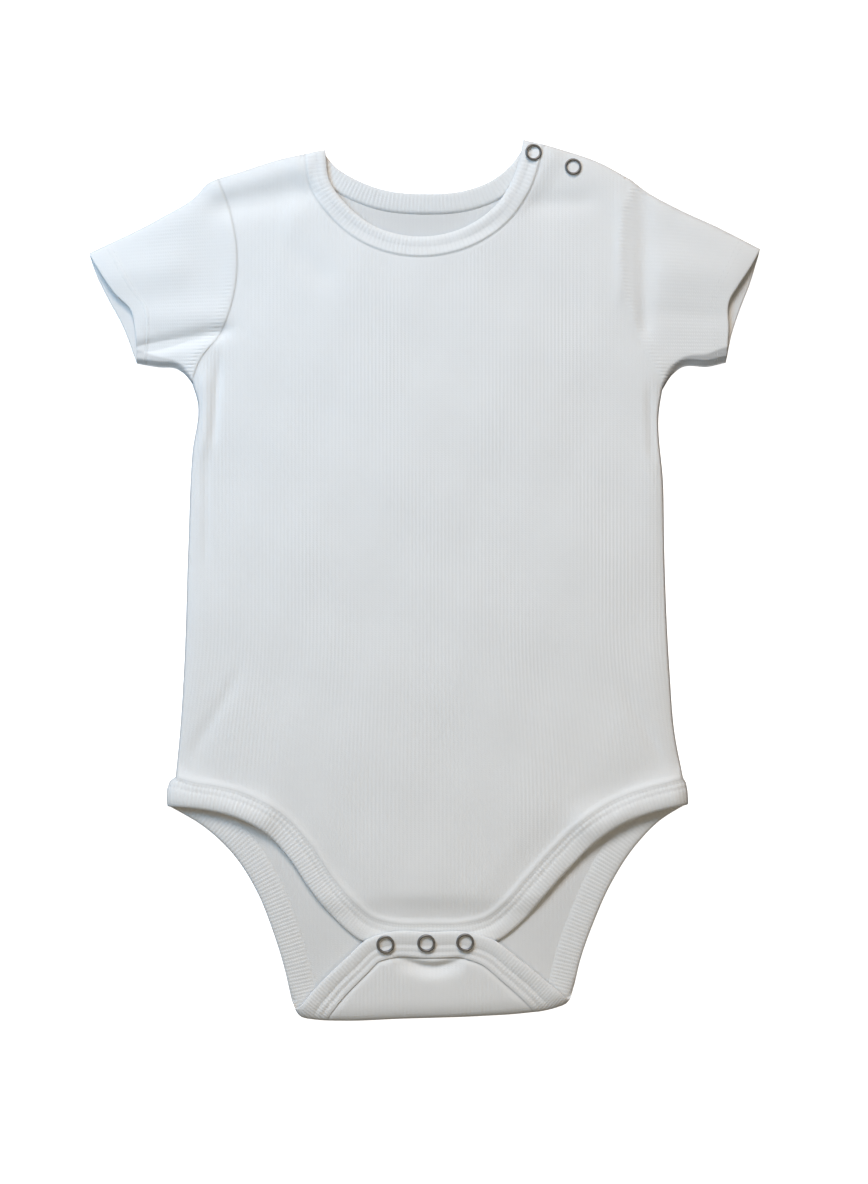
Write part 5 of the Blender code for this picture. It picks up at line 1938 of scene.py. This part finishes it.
STITCH_PROUD = 0.03  # how far the threads of a binding stand above its dents
HEM_PROUD = 0.02
HEM_SHARES = np.linspace(0.04, 0.96, 60)  # of a sleeve's width, with stitches
STITCHES_OFF_EDGE = 1.5  # how far from a closed edge the front's rows end
STITCHES_OFF_FOLD = 1.0  # how far from the fold the tail's rows end


def band_rows(edge, width, place, ends=NO_ENDS):
    """Both faces of a binding along each of its rows of stitches."""
    edge = even(edge, 1.0)
    rows = [(swept(edge, distance, width, ends), distance) for distance in NEEDLES[place]]
    return [place(line, distance, -STITCH_PROUD) for line, distance in rows]


def stitch_runs():
    """Lines of points along the rows of stitches that show."""
    runs = []
    edge, width = curve(LEG_EDGE_FRONT, 1.0), LEG_BINDING_WIDTH
    for _, high in band_rows(edge, width, on_upper_layer, HIP_ENDS):
        runs.append(high[nearest(CLOSED_EDGES, high[:, :2]) > STITCHES_OFF_EDGE])
    for low, high in band_rows(back_leg_edge(), width, on_back, back_hip_ends()):
        on_tail = low[:, 2] > high[:, 2]
        runs.append(low[on_tail & (low[:, 1] > fold_y(low[:, 0]) + STITCHES_OFF_FOLD)])
    for _, high in band_rows(neck_edge_front(), NECK_BINDING_WIDTH, on_neck):
        runs.append(high)
    for lines in SLEEVES:
        form = SleeveForm(*lines)
        for back in (CUFF_HEM, CUFF_HEM - HEM_ROW_GAP):
            line = form.place(1 - back / form.length, HEM_SHARES, "upper")
            runs.append(np.column_stack([line, form.outer(line, back) + HEM_PROUD]))
    return runs


class BODYSUIT_OT_stitches(bpy.types.Operator):
    """Sews the rows of stitches along the bindings"""

    bl_idname = "bodysuit.stitches"
    bl_label = "Stitches"

    def execute(self, context):
        sizes = context.scene.bodysuit_sizes
        runs = stitch_runs()
        data = bpy.data.meshes.new("stitches")
        points = np.concatenate(runs) * MM
        edges, first = [], 0
        for run in runs:
            edges += [(k, k + 1) for k in range(first, first + len(run) - 1)]
            first += len(run)
        data.from_pydata(points, edges, [])
        made = new_object("stitches", data)
        values = {
            "Stitch": sizes.stitch_length,
            "Gap": sizes.stitch_gap,
            "Thread": sizes.thread,
            "Seed": STITCH_SEED,
            "Material": finish_of(context, "sewing_thread"),
        }
        stitch_tree().apply(made, values)
        settle(made, "binding_knit")
        return {"FINISHED"}


# Snaps


class BODYSUIT_OT_snaps(bpy.types.Operator):
    """Turns the five ring snaps, each on the lean of the cloth below it"""

    bl_idname = "bodysuit.snaps"
    bl_label = "Ring Snaps"

    def execute(self, context):
        look = finish_of(context, "snap_steel")
        turns = np.arange(SNAP_SIDES) * 2 * math.pi / SNAP_SIDES
        for node in SNAP_NODES:
            size = SHOULDER_SNAP if "shoulder" in node else 1.0
            solid = np.array([v.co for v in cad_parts[node].data.vertices])
            middle = (solid.min(axis=0) + solid.max(axis=0)) / 2
            axis = np.linalg.svd(solid - solid.mean(axis=0), full_matrices=False)[2][2]
            axis *= np.sign(axis[2])
            base = middle + axis * ((solid - middle) @ axis).min()
            turned = Vector((0, 0, 1)).rotation_difference(Vector(axis)).to_matrix().to_4x4()
            mesh = bmesh.new()
            section = [(r * size, z) for r, z in SNAP_SECTION]
            rows = []
            for turn in turns:
                ring = [(r * math.cos(turn), r * math.sin(turn), z) for r, z in section]
                rows.append([mesh.verts.new(Vector(p) * MM) for p in ring])
            for row, following in zip(rows, [*rows[1:], rows[0]]):
                for j in range(len(row)):
                    k = (j + 1) % len(row)
                    mesh.faces.new([row[j], row[k], following[k], following[j]])
            bmesh.ops.recalc_face_normals(mesh, faces=mesh.faces)
            bmesh.ops.transform(mesh, matrix=turned, verts=mesh.verts)
            bmesh.ops.translate(mesh, vec=base, verts=mesh.verts)
            data = bpy.data.meshes.new(f"{node}_ring")
            mesh.to_mesh(data)
            mesh.free()
            data.materials.append(look)
            data.shade_smooth()
            settle(new_object(f"{node}_ring", data), "snap_steel", node)
        return {"FINISHED"}


# Stage


LIGHTS = (
    # name, size, power, colour, place; each faces the middle of the cloth
    ("key", 0.85, 32.3, (1.0, 0.875, 0.765), (-0.25, 1.6, 1.5)),
    ("cool", 0.4, 3.4, (0.42, 0.7, 1.0), (-0.4, 0.35, 0.6)),
    ("fill", 0.5, 1.5, (1.0, 0.82, 0.55), (0.05, -0.3, 0.9)),
)
FLOOR_SIZE = 3.0
FLOOR_DROP = 0.0003  # how far the floor lies below the cloth
CAMERA_PLACE = (0.0045, -0.0054, 1.342)
CAMERA_LENS = 85.0
WORLD_LIGHT = (0.09, 0.09, 0.09)


class BODYSUIT_OT_stage(bpy.types.Operator):
    """Sets the floor, the lights and the camera"""

    bl_idname = "bodysuit.stage"
    bl_label = "Stage"

    def execute(self, context):
        scene = context.scene
        mesh = bmesh.new()
        bmesh.ops.create_grid(mesh, x_segments=1, y_segments=1, size=FLOOR_SIZE)
        data = bpy.data.meshes.new("floor")
        mesh.to_mesh(data)
        mesh.free()
        data.transform(Matrix.Translation((0, 0, -FLOOR_DROP)))
        data.materials.append(finish_of(context, "pale_floor"))
        floor = new_object("floor", data)
        floor.visible_diffuse = False  # the cloth's shaded sides get no light back from it
        for name, size, power, tint, place in LIGHTS:
            lamp = bpy.data.lights.new(name, "AREA")
            lamp.size = size
            lamp.energy = power
            lamp.color = tint
            made = new_object(name, lamp)
            made.location = place
            made.rotation_euler = (-Vector(place)).to_track_quat("-Z", "Y").to_euler()
        world = bpy.data.worlds.new("studio")
        world.use_nodes = True
        sky = world.node_tree.nodes["Background"]
        sky.inputs["Color"].default_value = (*WORLD_LIGHT, 1.0)
        scene.world = world
        scene.view_settings.view_transform = "Standard"
        eye = bpy.data.cameras.new("camera")
        eye.lens = CAMERA_LENS
        eye.clip_start, eye.clip_end = 0.01, 20.0
        camera = new_object("camera", eye)
        camera.location = CAMERA_PLACE
        scene.camera = camera
        return {"FINISHED"}


OPERATORS = (
    BODYSUIT_OT_back,
    BODYSUIT_OT_front,
    BODYSUIT_OT_sleeves,
    BODYSUIT_OT_neck_bindings,
    BODYSUIT_OT_leg_bindings,
    BODYSUIT_OT_stitches,
    BODYSUIT_OT_snaps,
    BODYSUIT_OT_stage,
)


class BODYSUIT_PT_panel(bpy.types.Panel):
    """Lists the pieces of the bodysuit, and what can be changed on them"""

    bl_idname = "BODYSUIT_PT_panel"
    bl_label = "Baby Bodysuit"
    bl_space_type = "VIEW_3D"
    bl_region_type = "UI"
    bl_category = "Bodysuit"

    def draw(self, context):
        layout = self.layout
        for group in (context.scene.bodysuit_sizes, context.scene.bodysuit_colours):
            for name in group.__annotations__:
                layout.prop(group, name)
        for operator in OPERATORS:
            layout.operator(operator.bl_idname)


CLASSES = (BodysuitSizes, BodysuitColours, *OPERATORS, BODYSUIT_PT_panel)


def register():
    for made in CLASSES:
        bpy.utils.register_class(made)
    bpy.types.Scene.bodysuit_sizes = bpy.props.PointerProperty(type=BodysuitSizes)
    bpy.types.Scene.bodysuit_colours = bpy.props.PointerProperty(type=BodysuitColours)


def unregister():
    del bpy.types.Scene.bodysuit_colours
    del bpy.types.Scene.bodysuit_sizes
    for made in reversed(CLASSES):
        bpy.utils.unregister_class(made)


def main():
    register()
    for operator in OPERATORS:
        group, name = operator.bl_idname.split(".")
        getattr(getattr(bpy.ops, group), name)()


if __name__ == "__main__":
    main()
